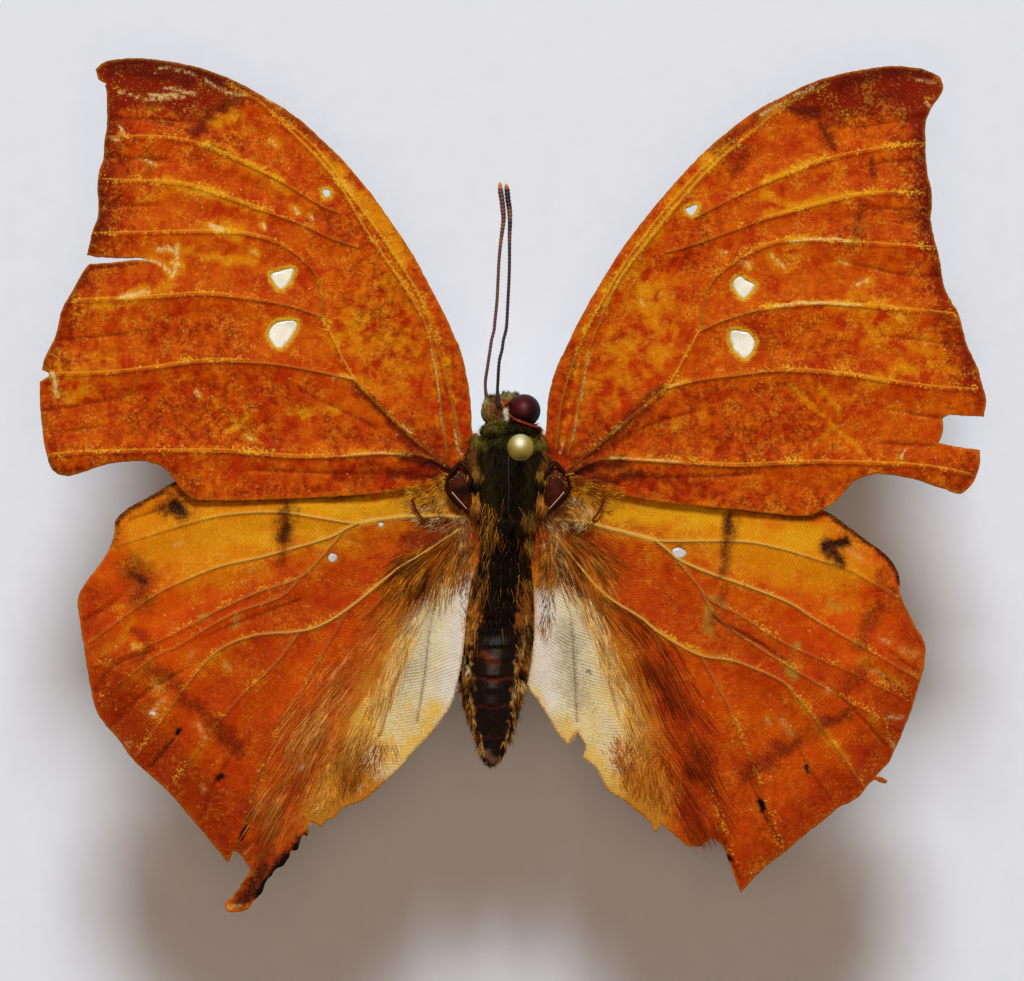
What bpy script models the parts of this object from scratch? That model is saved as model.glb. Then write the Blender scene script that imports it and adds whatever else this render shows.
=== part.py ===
"""A zaretis leafwing butterfly: a spread museum specimen on its pin, with a small block under it, life size.

The part stands on the block. +X is the butterfly's right, +Y is forward to its head, +Z is up.
The origin is the centre of the block's underside.
"""

import math

import bmesh
import bpy
from mathutils import Vector
from mathutils.geometry import delaunay_2d_cdt

MM = 0.001

# Driving sizes
WINGSPAN = 61.2 * MM        # across the spread forewings
GAP = 0.3 * MM              # left between neighbouring pieces
WING_THICKNESS = 0.5 * MM
BASE_SIZE = (40.0 * MM, 16.5 * MM, 8.0 * MM)
BASE_EDGE = 0.6 * MM
PIN_LENGTH = 36.0 * MM      # without its head
PIN_RADIUS = 0.25 * MM
PIN_DEPTH = 5.6 * MM        # how far the pin goes into the block
PIN_POINT_LENGTH = 1.2 * MM
PEARL_RADIUS = 0.85 * MM
PEARL_FLAT = math.radians(35)   # the flat under the pearl, half its angle at the middle

# The drawing grid of the outlines and veins: x to the right, y down, GRID wide a step
SPAN_STEPS = 942
GRID = WINGSPAN / SPAN_STEPS
GRID_ORIGIN = (512, 556)    # the grid point over the centre of the block
BODY_LINE = 508             # grid x of the middle of the thorax
PIN_POINT = (520.3, 448.6)  # where the pin goes through the thorax

# Heights
BODY_HEIGHT = 22.8 * MM     # middle of the thorax
FOREWING_HEIGHT = 24.2 * MM
HINDWING_DROP = 0.95 * MM   # the hindwing lies this far under the forewing
WING_RISE = 0.05            # both wings climb outwards, a height for each length
RISE_FROM = 3.0 * MM        # the climb starts this far from the body line
FOREWING_ARCH = 0.5 * MM
HINDWING_ARCH = 0.4 * MM
OVERLAP_LINE = 490          # grid y where the forewing's hind edge crosses the hindwing
FOREWING_CHORD = 26.0 * MM
HINDWING_CHORD = 24.0 * MM

# Wing membrane
OUTLINE_STEP = 1.15 * MM
VEIN_STEP = 1.9 * MM
CELL_STEP = 2.7 * MM
VEIN_RISE = 0.22 * MM
VEIN_HALF_WIDTH = 0.34 * MM
MARGIN_CLEAR = 0.55 * MM    # veins end this far inside the wing's edge

# Each wing's outline is a ring of smooth runs, which meet at corners
FOREWING_LEFT = (
    ((482, 442), (474, 430), (471, 405), (461, 352), (444, 313), (425, 277), (393, 225), (360, 180),
     (320, 138), (280, 106), (240, 83.5), (200, 68), (160, 60.5), (120, 59.5), (103, 64), (96, 70)),
    ((96, 70), (99, 80), (107, 84)),
    ((107, 84), (107, 125), (104, 155), (99, 180), (98.5, 218), (88, 255)),
    ((88, 255), (150, 260.5)),
    ((150, 260.5), (89, 264.5)),
    ((89, 264.5), (79, 281), (63, 310), (57, 335), (45, 361), (43.5, 371.5)),
    ((43.5, 371.5), (50, 378), (41, 385)),
    ((41, 385), (41, 405), (46, 448), (53, 469), (65, 476), (80, 473.5), (110, 464), (138, 461),
     (163, 467), (180, 487), (200, 500), (260, 500), (360, 495), (440, 484), (482, 472)),
    ((482, 472), (482, 442)),
)
FOREWING_RIGHT = (
    ((534, 442), (546, 430), (550, 400), (556, 375), (566, 348), (580, 319), (600, 284), (622, 249),
     (650, 212), (700, 156), (740, 122), (780, 98), (820, 80), (860, 70.5), (895, 66.5), (920, 69),
     (932, 73)),
    ((932, 73), (940, 79), (942.5, 89), (937, 100), (928, 115), (924.5, 138), (926, 168), (931, 200),
     (929.5, 220)),
    ((929.5, 220), (938.5, 260), (943, 287), (957, 314), (966, 345), (976, 367), (985, 400), (983, 417)),
    ((983, 417), (948, 414.5)),
    ((948, 414.5), (942, 419), (943, 430), (938, 443)),
    ((938, 443), (979, 450)),
    ((979, 450), (979, 462), (973, 481), (960, 493.5), (940, 488), (910, 478.5), (880, 474),
     (852, 483), (837, 500), (820, 511), (800, 516), (740, 510), (660, 502), (600, 490), (534, 474)),
    ((534, 474), (534, 442)),
)
HINDWING_LEFT = (
    ((482, 498), (450, 490), (410, 481), (360, 475), (300, 470), (240, 468), (200, 472), (178, 480),
     (150, 496), (130, 507), (117, 520), (113, 540), (102, 562), (86, 583), (78, 604), (82, 632),
     (88, 670), (97, 711), (118, 738), (132, 758), (180, 805), (207, 837), (226, 861)),
    ((226, 861), (233, 851)),
    ((233, 851), (245, 861), (250, 870)),
    ((250, 870), (240, 886), (227, 899)),
    ((227, 899), (226, 908), (239, 913), (254, 902), (268, 880), (284, 865), (300, 840), (309, 822)),
    ((309, 822), (325, 826), (342, 809), (358, 806), (388, 782), (415, 750), (440, 722), (452, 702),
     (457, 665), (459, 640), (455, 590), (460, 562), (482, 545)),
    ((482, 545), (482, 498)),
)
HINDWING_RIGHT = (
    ((534, 503), (570, 492), (610, 487), (660, 483), (720, 485), (780, 494), (825, 511), (850, 528),
     (873, 545), (892, 562), (899.5, 582), (903, 602), (914, 624), (925, 652), (923, 668),
     (915, 696), (905, 725), (889, 762)),
    ((889, 762), (870, 778), (860, 795), (838, 808), (800, 839), (768, 865), (750, 883), (741, 893.5)),
    ((741, 893.5), (733, 872), (724, 848), (713, 838), (701, 847), (688, 847), (668, 830), (660, 824)),
    ((660, 824), (655, 832)),
    ((655, 832), (643, 816), (626, 802), (607, 790), (597, 770), (583, 758)),
    ((583, 758), (586, 747), (577, 732)),
    ((577, 732), (568, 747)),
    ((568, 747), (555, 730), (537, 700), (527, 685)),
    ((527, 685), (535, 665), (543, 635), (544, 605), (552, 575), (534, 545)),
    ((534, 545), (534, 503)),
)

# Main veins, from the wing's root outwards
FOREWING_LEFT_VEINS = {
    "costal": ((461, 446), (451, 400), (425, 310), (390, 250), (350, 195), (318, 152)),
    "radial": ((447, 452), (440, 400), (430, 340), (412, 300), (365, 230), (335, 180), (300, 142),
               (268, 108)),
    "fifth_radial": ((340, 213), (320, 205), (280, 181), (240, 162), (200, 146), (160, 139), (105, 140)),
    "first_medial": ((358, 247), (335, 240), (300, 224), (260, 210), (220, 196), (180, 185), (99, 182)),
    "second_medial": ((323, 318), (322, 300), (317, 277), (305, 262), (285, 247), (260, 238),
                      (220, 233), (93, 236)),
    "first_cubital": ((322, 317), (300, 309), (280, 304), (240, 298), (200, 295), (160, 298), (66, 303)),
    "second_cubital": ((353, 379), (320, 372), (280, 365), (240, 362), (200, 362.5), (120, 373),
                       (48, 376)),
    "cubital_stem": ((452, 468), (420, 445), (400, 427), (380, 408), (353, 378), (333, 340), (322, 317)),
    "anal": ((450, 470), (440, 463), (418, 455), (380, 454), (300, 457.5), (220, 452), (100, 453),
             (48, 457)),
}
FOREWING_RIGHT_VEINS = {
    "costal": ((556, 448), (562, 400), (580, 345), (606, 296), (640, 243), (690, 183)),
    "radial": ((568, 454), (580, 400), (586, 360), (600, 322), (620, 280), (650, 240), (680, 203),
               (710, 170), (745, 140), (768, 112)),
    "fifth_radial": ((695, 218), (725, 202), (755, 188), (790, 174), (830, 160), (880, 150), (926, 146)),
    "first_medial": ((667, 252), (690, 246), (730, 232), (760, 221), (790, 213), (830, 202),
                     (870, 195), (931, 196)),
    "second_medial": ((700, 331), (702, 318), (705, 300), (714, 279), (740, 259), (765, 247),
                      (800, 241), (880, 246), (936, 250)),
    "first_cubital": ((700, 331), (725, 320), (760, 310), (800, 306), (840, 305), (955, 316)),
    "second_cubital": ((667, 388), (700, 380), (740, 375), (780, 371), (840, 375), (920, 387),
                       (981, 392)),
    "cubital_stem": ((563, 472), (590, 452), (610, 436), (640, 411), (667, 388), (685, 358), (700, 331)),
    "anal": ((568, 474), (590, 463), (610, 459), (680, 463), (740, 466), (820, 463), (920, 467),
             (976, 477)),
}
HINDWING_LEFT_VEINS = {
    "stem": ((462, 517), (440, 516), (415, 516), (385, 518.5), (358, 523)),
    "subcostal": ((358, 523), (345, 522), (315, 517), (280, 512), (240, 513), (200, 520), (112, 546)),
    "radial": ((358, 523), (345, 529), (330, 537), (300, 546), (260, 557), (220, 566), (180, 582),
               (150, 598), (84, 645)),
    "first_medial": ((345, 529), (322, 556), (300, 577), (260, 591), (220, 609), (165, 638), (87, 668)),
    "second_medial": ((300, 577), (282, 596), (240, 611), (210, 626), (180, 645), (150, 660), (95, 703)),
    "first_cubital": ((458, 530), (420, 555), (400, 567), (380, 583), (350, 607), (325, 623), (300, 631),
                      (255, 635), (222, 648), (200, 668), (170, 708), (133, 757)),
    "second_cubital": ((300, 631), (276, 663), (243, 694), (215, 727), (190, 762), (165, 790)),
    "tail": ((350, 607), (318, 662), (298, 700), (270, 748), (250, 800), (240, 848)),
    "anal_fold": ((460, 548), (440, 590), (434, 640), (424, 690), (408, 740)),
}
HINDWING_RIGHT_VEINS = {
    "stem": ((554, 519), (585, 522), (600, 526), (640, 536), (655, 540)),
    "subcostal": ((655, 540), (670, 541), (740, 541), (780, 548), (820, 560), (850, 570), (900, 598)),
    "radial": ((655, 540), (668, 550), (680, 560), (710, 573), (750, 587), (790, 603), (820, 622),
               (923, 680)),
    "first_medial": ((668, 550), (692, 578), (712, 601), (740, 615), (783, 642), (850, 672), (918, 704)),
    "second_medial": ((700, 588), (715, 615), (742, 636), (790, 667), (850, 702), (906, 730)),
    "first_cubital": ((556, 536), (600, 590), (640, 617), (660, 633), (700, 655), (735, 661), (780, 680),
                      (800, 700), (835, 745), (864, 786)),
    "second_cubital": ((700, 655), (712, 676), (728, 705), (745, 745), (765, 800), (782, 848)),
    "tail": ((650, 626), (676, 680), (696, 740), (715, 800), (736, 868)),
    "anal_fold": ((552, 552), (570, 600), (573, 640), (576, 700), (578, 724)),
}

# Body stations: grid y, grid x of the middle, half width, then reach up and down from the middle line
THORAX = (
    (428, 508, 1.05, 0.9, 0.9),
    (433, 508, 1.90, 1.7, 1.8),
    (441, 508, 2.40, 2.5, 2.6),
    (453, 508, 2.65, 3.1, 3.1),
    (470, 508, 2.70, 3.3, 3.4),
    (490, 508, 2.55, 3.2, 3.4),
    (512, 508, 2.35, 2.9, 3.2),
    (535, 507, 2.30, 2.4, 2.8),
    (560, 505, 2.30, 2.0, 2.3),
    (585, 503, 2.25, 1.9, 2.0),
    (600, 502, 2.00, 1.7, 1.8),
)
HEAD = (
    (394, 507, 0.45, 0.35, 0.45),
    (397, 506, 0.90, 0.75, 0.90),
    (403, 505, 1.30, 1.15, 1.25),
    (411, 505, 1.45, 1.30, 1.35),
    (419, 506, 1.25, 1.15, 1.20),
    (423.4, 507, 0.90, 0.85, 0.85),
)
ABDOMEN = (
    (604.6, 501, 2.00, 1.7, 1.8),
    (625, 498, 2.25, 1.9, 2.0),
    (650, 495, 2.30, 2.0, 2.0),
    (675, 493, 2.20, 1.9, 2.0),
    (700, 492, 1.95, 1.7, 1.8),
    (720, 492, 1.58, 1.4, 1.5),
    (740, 492, 1.15, 1.05, 1.15),
    (756, 492, 0.80, 0.75, 0.85),
    (767, 491.5, 0.35, 0.35, 0.40),
)
HEAD_HEIGHT = 22.7 * MM
ABDOMEN_HEIGHT = 22.7 * MM
ABDOMEN_DROOP = 0.6 * MM     # the tip hangs this much lower
SEGMENT_ENDS = (620, 634, 648, 662, 677, 692, 707, 723, 740, 756)
SEGMENT_STEP = 0.07 * MM     # each segment's hind rim stands out over the next
RIM_STEPS = 2                # the rim slopes down over this many steps of the grid

# Swellings of the thorax: grid point, height over the body line, radii
THORAX_LOBES = {
    "left_tegula": ((475, 463), 2.1 * MM, (0.60 * MM, 2.1 * MM, 0.65 * MM)),
    "right_tegula": ((541, 463), 2.1 * MM, (0.60 * MM, 2.1 * MM, 0.65 * MM)),
    "left_wing_plate": ((459, 486), 1.3 * MM, (1.0 * MM, 0.8 * MM, 0.75 * MM)),
    "right_wing_plate": ((559, 486), 1.3 * MM, (1.0 * MM, 0.8 * MM, 0.75 * MM)),
    "scutellum": ((508, 528), 2.0 * MM, (1.1 * MM, 0.9 * MM, 0.75 * MM)),
}

# The head is rolled to the left, so the right eye is up and the left one down
EYES = {
    "eye_left": ((494.5, 412), -0.75 * MM, 0.98 * MM),
    "eye_right": ((524, 409), 0.60 * MM, 1.10 * MM),
}

# Feelers and palps: grid points with a height over the head's middle line, then radii
ANTENNAE = {
    "antenna_left": (((493, 409, 0.4), (487, 397, 0.6), (485.5, 385, 0.7), (487, 360, 0.8),
                      (492, 335, 0.9), (496.5, 305, 0.9), (499, 270, 0.9), (501, 230, 0.9),
                      (502, 205, 0.9), (500.5, 182, 0.9)),
                     (0.26, 0.25, 0.25, 0.25, 0.25, 0.25, 0.25, 0.27, 0.28, 0.16)),
    "antenna_right": (((502, 409, 0.9), (498.5, 397, 1.3), (498, 383, 1.4), (500, 360, 1.5),
                       (505, 335, 1.6), (508.5, 300, 1.7), (510, 260, 1.8), (511, 225, 1.85),
                       (509, 200, 1.85), (506, 184, 1.85)),
                      (0.26, 0.25, 0.25, 0.25, 0.25, 0.25, 0.25, 0.27, 0.28, 0.16)),
}
PALPS = {
    "palp_left": (((503, 412, -1.2), (503, 406, -2.0), (503.5, 400, -2.2), (504, 395.5, -1.8),
                   (504, 393.5, -1.2)),
                  (0.26, 0.27, 0.28, 0.26, 0.14)),
    "palp_right": (((515, 412, -1.0), (515, 406, -1.75), (515.5, 400, -1.9), (516, 395.5, -1.5),
                    (516, 393.5, -0.9)),
                   (0.26, 0.27, 0.28, 0.26, 0.14)),
}

# Legs folded under the thorax: the hip's grid y, then millimetres outwards, forward and over the body line
LEGS = {
    "leg_fore": (437, ((1.15, 0.0, -1.2), (1.3, 0.6, -3.4), (1.0, 1.7, -3.0), (0.75, 2.1, -4.1)),
                 (0.33, 0.31, 0.27, 0.15)),
    "leg_mid": (474, ((1.3, 0.0, -2.2), (2.7, 0.9, -4.5), (1.7, -2.3, -5.4), (1.1, -4.8, -5.1)),
                (0.38, 0.33, 0.27, 0.14)),
    "leg_hind": (514, ((1.2, 0.0, -2.0), (2.8, -1.1, -4.2), (1.9, -4.4, -5.1), (1.4, -7.2, -4.5)),
                 (0.38, 0.33, 0.27, 0.14)),
}

# Fineness of the mesh
CURVE_PARTS = 8             # straight pieces between two points of a smooth run
FOOT_CLEAR = 1.3            # a vein's foot keeps this many half widths from other veins
CELL_CLEAR = 0.45           # inner points keep this share of a cell step from edge and veins
CROSS_CHECK = 1e-4          # nearest two points of the net, in millimetres
WELD = 0.002 * MM
THROUGH = 8.0 * MM          # a through hole's cutter reaches this far up and down
SHARP_ANGLE = math.radians(40)
BODY_SIDES = 20
LOBE_SIDES = 12
EYE_SIDES = 18
PIN_SIDES = 16
PEARL_RINGS = 9

# Colours: red, green, blue, then roughness
COLOURS = {
    "wing": (0.52, 0.13, 0.02, 0.75),
    "fur": (0.06, 0.05, 0.02, 0.90),
    "abdomen": (0.10, 0.05, 0.02, 0.60),
    "eye": (0.05, 0.01, 0.01, 0.15),
    "feeler": (0.03, 0.015, 0.01, 0.45),
    "leg": (0.20, 0.11, 0.04, 0.70),
    "steel": (0.05, 0.05, 0.055, 0.30),
    "pearl": (0.60, 0.60, 0.40, 0.12),
    "block": (0.80, 0.79, 0.76, 0.80),
}


def at(point):
    """The place of a grid point, in metres."""
    return Vector(((point[0] - GRID_ORIGIN[0]) * GRID, (GRID_ORIGIN[1] - point[1]) * GRID))


def material(name):
    """A plain finish in one of the named colours."""
    made = bpy.data.materials.get(name) or bpy.data.materials.new(name)
    made.use_nodes = True
    shader = made.node_tree.nodes["Principled BSDF"]
    red, green, blue, rough = COLOURS[name]
    shader.inputs["Base Color"].default_value = (red, green, blue, 1.0)
    shader.inputs["Roughness"].default_value = rough
    shader.inputs["Metallic"].default_value = 1.0 if name == "steel" else 0.0
    return made


def new_object(name, mesh, collection):
    """An object for a mesh or a curve, linked to a collection."""
    made = bpy.data.objects.new(name, mesh)
    collection.objects.link(made)
    return made


def finish(piece, finish_name):
    """Smooth shading and a material."""
    piece.data.shade_smooth()
    piece.data.set_sharp_from_angle(angle=SHARP_ANGLE)
    piece.data.materials.clear()
    piece.data.materials.append(material(finish_name))
    return piece


def largest_surface(mesh):
    """Keep only the largest closed surface of a mesh."""
    work = bmesh.new()
    work.from_mesh(mesh)
    left = set(work.verts)
    islands = []
    while left:
        island = set()
        edge_of = [left.pop()]
        while edge_of:
            vert = edge_of.pop()
            island.add(vert)
            for edge in vert.link_edges:
                other = edge.other_vert(vert)
                if other in left:
                    left.remove(other)
                    edge_of.append(other)
        islands.append(island)
    islands.sort(key=len)
    for island in islands[:-1]:
        bmesh.ops.delete(work, geom=list(island), context="VERTS")
    work.to_mesh(mesh)
    work.free()


def settle(piece):
    """Make an object's modifiers part of its mesh, weld it and keep its largest surface."""
    graph = bpy.context.evaluated_depsgraph_get()
    mesh = bpy.data.meshes.new_from_object(piece.evaluated_get(graph))
    work = bmesh.new()
    work.from_mesh(mesh)
    bmesh.ops.remove_doubles(work, verts=work.verts, dist=WELD)
    work.to_mesh(mesh)
    work.free()
    largest_surface(mesh)
    name = piece.name
    place = piece.matrix_world.copy()
    collection = piece.users_collection[0]
    bpy.data.objects.remove(piece)
    settled = new_object(name, mesh, collection)
    settled.matrix_world = place
    return settled


def join(pieces):
    """Fuse closed pieces into the first of them with one Boolean union."""
    lead = pieces[0]
    if len(pieces) == 1:
        return lead
    group = bpy.data.collections.new("joined")
    bpy.context.scene.collection.children.link(group)
    for piece in pieces[1:]:
        for owner in piece.users_collection:
            owner.objects.unlink(piece)
        group.objects.link(piece)
    union = lead.modifiers.new("union", "BOOLEAN")
    union.operation = "UNION"
    union.operand_type = "COLLECTION"
    union.collection = group
    union.solver = "EXACT"
    lead = settle(lead)
    for piece in list(group.objects):
        bpy.data.objects.remove(piece)
    bpy.data.collections.remove(group)
    return lead


def cut(piece, cutters):
    """Cut a piece clear of the cutters."""
    for cutter in cutters:
        difference = piece.modifiers.new("cut", "BOOLEAN")
        difference.operation = "DIFFERENCE"
        difference.object = cutter
        difference.solver = "EXACT"
    return settle(piece)


def as_cutter(piece, collection):
    """Set a piece aside as a cutter."""
    for owner in piece.users_collection:
        owner.objects.unlink(piece)
    collection.objects.link(piece)
    piece.hide_render = True
    piece.display_type = "WIRE"
    return piece


def smooth_run(points, step):
    """Points about a step apart along a smooth curve through the given points, ends included."""
    if len(points) == 2:
        count = max(1, round((points[1] - points[0]).length / step))
        return [points[0].lerp(points[1], i / count) for i in range(count + 1)]
    ends = [2 * points[0] - points[1]] + list(points) + [2 * points[-1] - points[-2]]
    fine = []
    for before, start, end, after in zip(ends, ends[1:], ends[2:], ends[3:]):
        for i in range(CURVE_PARTS):
            t = i / CURVE_PARTS
            fine.append(0.5 * ((2 * start) + (end - before) * t
                               + (2 * before - 5 * start + 4 * end - after) * t * t
                               + (3 * start - before - 3 * end + after) * t * t * t))
    fine.append(points[-1])
    length = sum((b - a).length for a, b in zip(fine, fine[1:]))
    count = max(2, round(length / step))
    walked, target, picked = 0.0, length / count, [fine[0]]
    for a, b in zip(fine, fine[1:]):
        piece = (b - a).length
        while walked + piece >= target - 1e-9 and len(picked) < count:
            picked.append(a.lerp(b, (target - walked) / piece))
            target += length / count
        walked += piece
    picked.append(fine[-1])
    return picked


def distance_to_line(point, line):
    """The shortest way from a point to a broken line."""
    best = math.inf
    for a, b in zip(line, line[1:]):
        along = b - a
        share = max(0.0, min(1.0, (point - a).dot(along) / along.length_squared))
        best = min(best, (point - a - along * share).length)
    return best


def inside(point, ring):
    """Whether a point lies inside a closed ring of points."""
    crossings = 0
    for a, b in zip(ring, ring[1:] + ring[:1]):
        if (a.y > point.y) != (b.y > point.y):
            if point.x < a.x + (point.y - a.y) * (b.x - a.x) / (b.y - a.y):
                crossings += 1
    return crossings % 2 == 1


def forewing_height(x, y):
    """Height of the forewing's underside over the floor."""
    out = max(0.0, abs(x - at((BODY_LINE, 0)).x) - RISE_FROM)
    share = max(0.0, min(1.0, (y - at((0, OVERLAP_LINE)).y) / FOREWING_CHORD))
    return FOREWING_HEIGHT + WING_RISE * out + FOREWING_ARCH * math.sin(math.pi * share)


def hindwing_height(x, y):
    """Height of the hindwing's underside over the floor."""
    out = max(0.0, abs(x - at((BODY_LINE, 0)).x) - RISE_FROM)
    share = max(0.0, min(1.0, (at((0, OVERLAP_LINE)).y - y) / HINDWING_CHORD))
    return FOREWING_HEIGHT - HINDWING_DROP + WING_RISE * out + HINDWING_ARCH * math.sin(math.pi * share)


def vein_net(ring, veins):
    """Crest lines of the veins, ended inside the wing's edge."""
    crests = []
    edge = ring + ring[:1]
    for points in veins.values():
        line = smooth_run([at(p) for p in points], VEIN_STEP)
        line = [p for p in line if inside(p, ring) and distance_to_line(p, edge) > MARGIN_CLEAR]
        crests.append(line)
    return crests


def feet_of(crest):
    """The two foot lines beside a crest."""
    sides = ([], [])
    for i, point in enumerate(crest):
        along = (crest[min(i + 1, len(crest) - 1)] - crest[max(i - 1, 0)]).normalized()
        across = Vector((-along.y, along.x)) * VEIN_HALF_WIDTH
        sides[0].append(point + across)
        sides[1].append(point - across)
    return sides


def wing(name, outline, veins, height, collection):
    """A membrane of even thickness with its veins raised in its upper face."""
    ring = []
    for run in outline:
        ring.extend(smooth_run([at(p) for p in run], OUTLINE_STEP)[:-1])
    edge = ring + ring[:1]
    crests = vein_net(ring, veins)
    points = list(ring)
    edges = []
    for crest in crests:
        edges.extend((len(points) + i, len(points) + i + 1) for i in range(len(crest) - 1))
        points.extend(crest)
    for own, crest in enumerate(crests):
        others = [line for k, line in enumerate(crests) if k != own and len(line) > 1]
        for foot in feet_of(crest):
            before = None
            for point in foot:
                clear = min((distance_to_line(point, line) for line in others), default=math.inf)
                if clear < FOOT_CLEAR * VEIN_HALF_WIDTH or distance_to_line(point, edge) < VEIN_HALF_WIDTH:
                    before = None
                    continue
                points.append(point)
                if before is not None:
                    edges.append((before, len(points) - 1))
                before = len(points) - 1
    lows = (min(p.x for p in ring), min(p.y for p in ring))
    highs = (max(p.x for p in ring), max(p.y for p in ring))
    row_step = CELL_STEP * math.sqrt(3) / 2
    for row in range(int((highs[1] - lows[1]) / row_step) + 1):
        for column in range(int((highs[0] - lows[0]) / CELL_STEP) + 1):
            shift = CELL_STEP / 2 if row % 2 else 0.0
            point = Vector((lows[0] + shift + column * CELL_STEP, lows[1] + row * row_step))
            if not inside(point, ring) or distance_to_line(point, edge) < CELL_CLEAR * CELL_STEP:
                continue
            if min(distance_to_line(point, line) for line in crests) > CELL_CLEAR * CELL_STEP:
                points.append(point)
    flat = delaunay_2d_cdt([p / MM for p in points], edges, [list(range(len(ring)))], 1, CROSS_CHECK)
    mesh = bpy.data.meshes.new(name)
    places = [Vector((v.x * MM, v.y * MM)) for v in flat[0]]
    mesh.from_pydata([(p.x, p.y, height(p.x, p.y)) for p in places], [], flat[2])
    work = bmesh.new()
    work.from_mesh(mesh)
    for face in work.faces:
        if face.normal.z < 0:
            face.normal_flip()
    work.to_mesh(mesh)
    work.free()
    membrane = new_object(name, mesh, collection)
    raised = membrane.vertex_groups.new(name="veins")
    for index, place in enumerate(places):
        near = min(distance_to_line(place, line) for line in crests)
        raised.add([index], max(0.0, 1.0 - near / VEIN_HALF_WIDTH), "REPLACE")
    shell = membrane.modifiers.new("thickness", "SOLIDIFY")
    shell.thickness = WING_THICKNESS + VEIN_RISE
    shell.offset = 1.0
    shell.vertex_group = "veins"
    shell.thickness_vertex_group = WING_THICKNESS / (WING_THICKNESS + VEIN_RISE)
    return settle(membrane)


def loft(name, stations, height, collection, grow=0.0, droop=0.0):
    """A closed body through oval stations, which are given as in THORAX."""
    work = bmesh.new()
    rings = []
    first, last = stations[0][0], stations[-1][0]
    for number, (row, column, half, up, down) in enumerate(stations):
        middle = at((column, row))
        along = middle.y
        if number == 0:
            along += grow
        if number == len(stations) - 1:
            along -= grow
        low = height - droop * ((row - first) / (last - first)) ** 2
        ring = []
        for i in range(BODY_SIDES):
            turn = 2 * math.pi * i / BODY_SIDES
            reach = (up if math.sin(turn) > 0 else down) * MM + grow
            ring.append(work.verts.new((middle.x + (half * MM + grow) * math.cos(turn), along,
                                        low + reach * math.sin(turn))))
        rings.append(ring)
    for fore, hind in zip(rings, rings[1:]):
        for i in range(BODY_SIDES):
            k = (i + 1) % BODY_SIDES
            work.faces.new((fore[i], fore[k], hind[k], hind[i]))
    work.faces.new(rings[0])
    work.faces.new(rings[-1][::-1])
    bmesh.ops.recalc_face_normals(work, faces=work.faces)
    mesh = bpy.data.meshes.new(name)
    work.to_mesh(mesh)
    work.free()
    return new_object(name, mesh, collection)


def between(stations, row):
    """The station at a grid row, on straight lines between the given stations."""
    for fore, hind in zip(stations, stations[1:]):
        if fore[0] <= row <= hind[0]:
            share = (row - fore[0]) / (hind[0] - fore[0])
            return tuple(a + (b - a) * share for a, b in zip(fore, hind))
    return stations[-1]


def segmented(stations):
    """Stations of the abdomen with a raised rim at the end of each segment."""
    ringed = [stations[0]]
    rim = SEGMENT_STEP / MM
    for row in SEGMENT_ENDS:
        place, column, half, up, down = between(stations, row)
        ringed.append((place, column, half + rim, up + rim, down + rim))
        place, column, half, up, down = between(stations, row + RIM_STEPS)
        ringed.append((place, column, half, up, down))
    ringed.append(stations[-1])
    return tuple(ringed)


def ball(name, middle, radii, sides, collection, grow=0.0):
    """An egg-shaped closed body."""
    mesh = bpy.data.meshes.new(name)
    work = bmesh.new()
    bmesh.ops.create_uvsphere(work, u_segments=sides, v_segments=sides * 2 // 3, radius=1.0)
    for vert in work.verts:
        vert.co = Vector([c * (r + grow) for c, r in zip(vert.co, radii)]) + middle
    work.to_mesh(mesh)
    work.free()
    return new_object(name, mesh, collection)


def tube(name, points, radii, collection):
    """A tapering tube along a smooth line, closed at its ends."""
    curve = bpy.data.curves.new(name, "CURVE")
    curve.dimensions = "3D"
    curve.bevel_depth = 1.0 * MM
    curve.bevel_resolution = 2
    curve.use_fill_caps = True
    spline = curve.splines.new("POLY")
    spline.points.add(len(points) - 1)
    for target, point, radius in zip(spline.points, points, radii):
        target.co = (point[0], point[1], point[2], 1.0)
        target.radius = radius
    return settle(new_object(name, curve, collection))


def bent(points, radii, share=0.15):
    """A broken line with its inner corners rounded off, each corner made three points."""
    line, thick = [points[0]], [radii[0]]
    for i in range(1, len(points) - 1):
        line.append(points[i].lerp(points[i - 1], share))
        line.append(points[i].lerp((points[i - 1] + points[i + 1]) / 2, share / 3))
        line.append(points[i].lerp(points[i + 1], share))
        thick.extend([radii[i]] * 3)
    return line + [points[-1]], thick + [radii[-1]]


def turned(name, profile, collection):
    """A closed turned body; the profile runs down its outer side, from axis to axis."""
    mesh = bpy.data.meshes.new(name)
    mesh.from_pydata([(r, 0.0, z) for r, z in profile], [(i, i + 1) for i in range(len(profile) - 1)], [])
    made = new_object(name, mesh, collection)
    screw = made.modifiers.new("turn", "SCREW")
    screw.steps = PIN_SIDES
    screw.render_steps = PIN_SIDES
    screw.use_merge_vertices = True
    screw.merge_threshold = 0.001 * MM
    return made


def rod(name, middle, radius, low, high, collection):
    """An upright closed cylinder."""
    mesh = bpy.data.meshes.new(name)
    work = bmesh.new()
    bmesh.ops.create_cone(work, cap_ends=True, segments=PIN_SIDES, radius1=radius, radius2=radius,
                          depth=high - low)
    for vert in work.verts:
        vert.co += Vector((middle.x, middle.y, (high + low) / 2))
    work.to_mesh(mesh)
    work.free()
    return new_object(name, mesh, collection)


def thorax_body(name, collection, grow=0.0):
    """The thorax with its tegulae, wing plates and scutellum, grown all round where it is a cutter."""
    pieces = [loft(name, THORAX, BODY_HEIGHT, collection, grow)]
    for lobe, (point, over, radii) in THORAX_LOBES.items():
        place = at(point)
        middle = Vector((place.x, place.y, BODY_HEIGHT + over))
        pieces.append(ball(lobe, middle, radii, LOBE_SIDES, collection, grow))
    return join(pieces)


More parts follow.
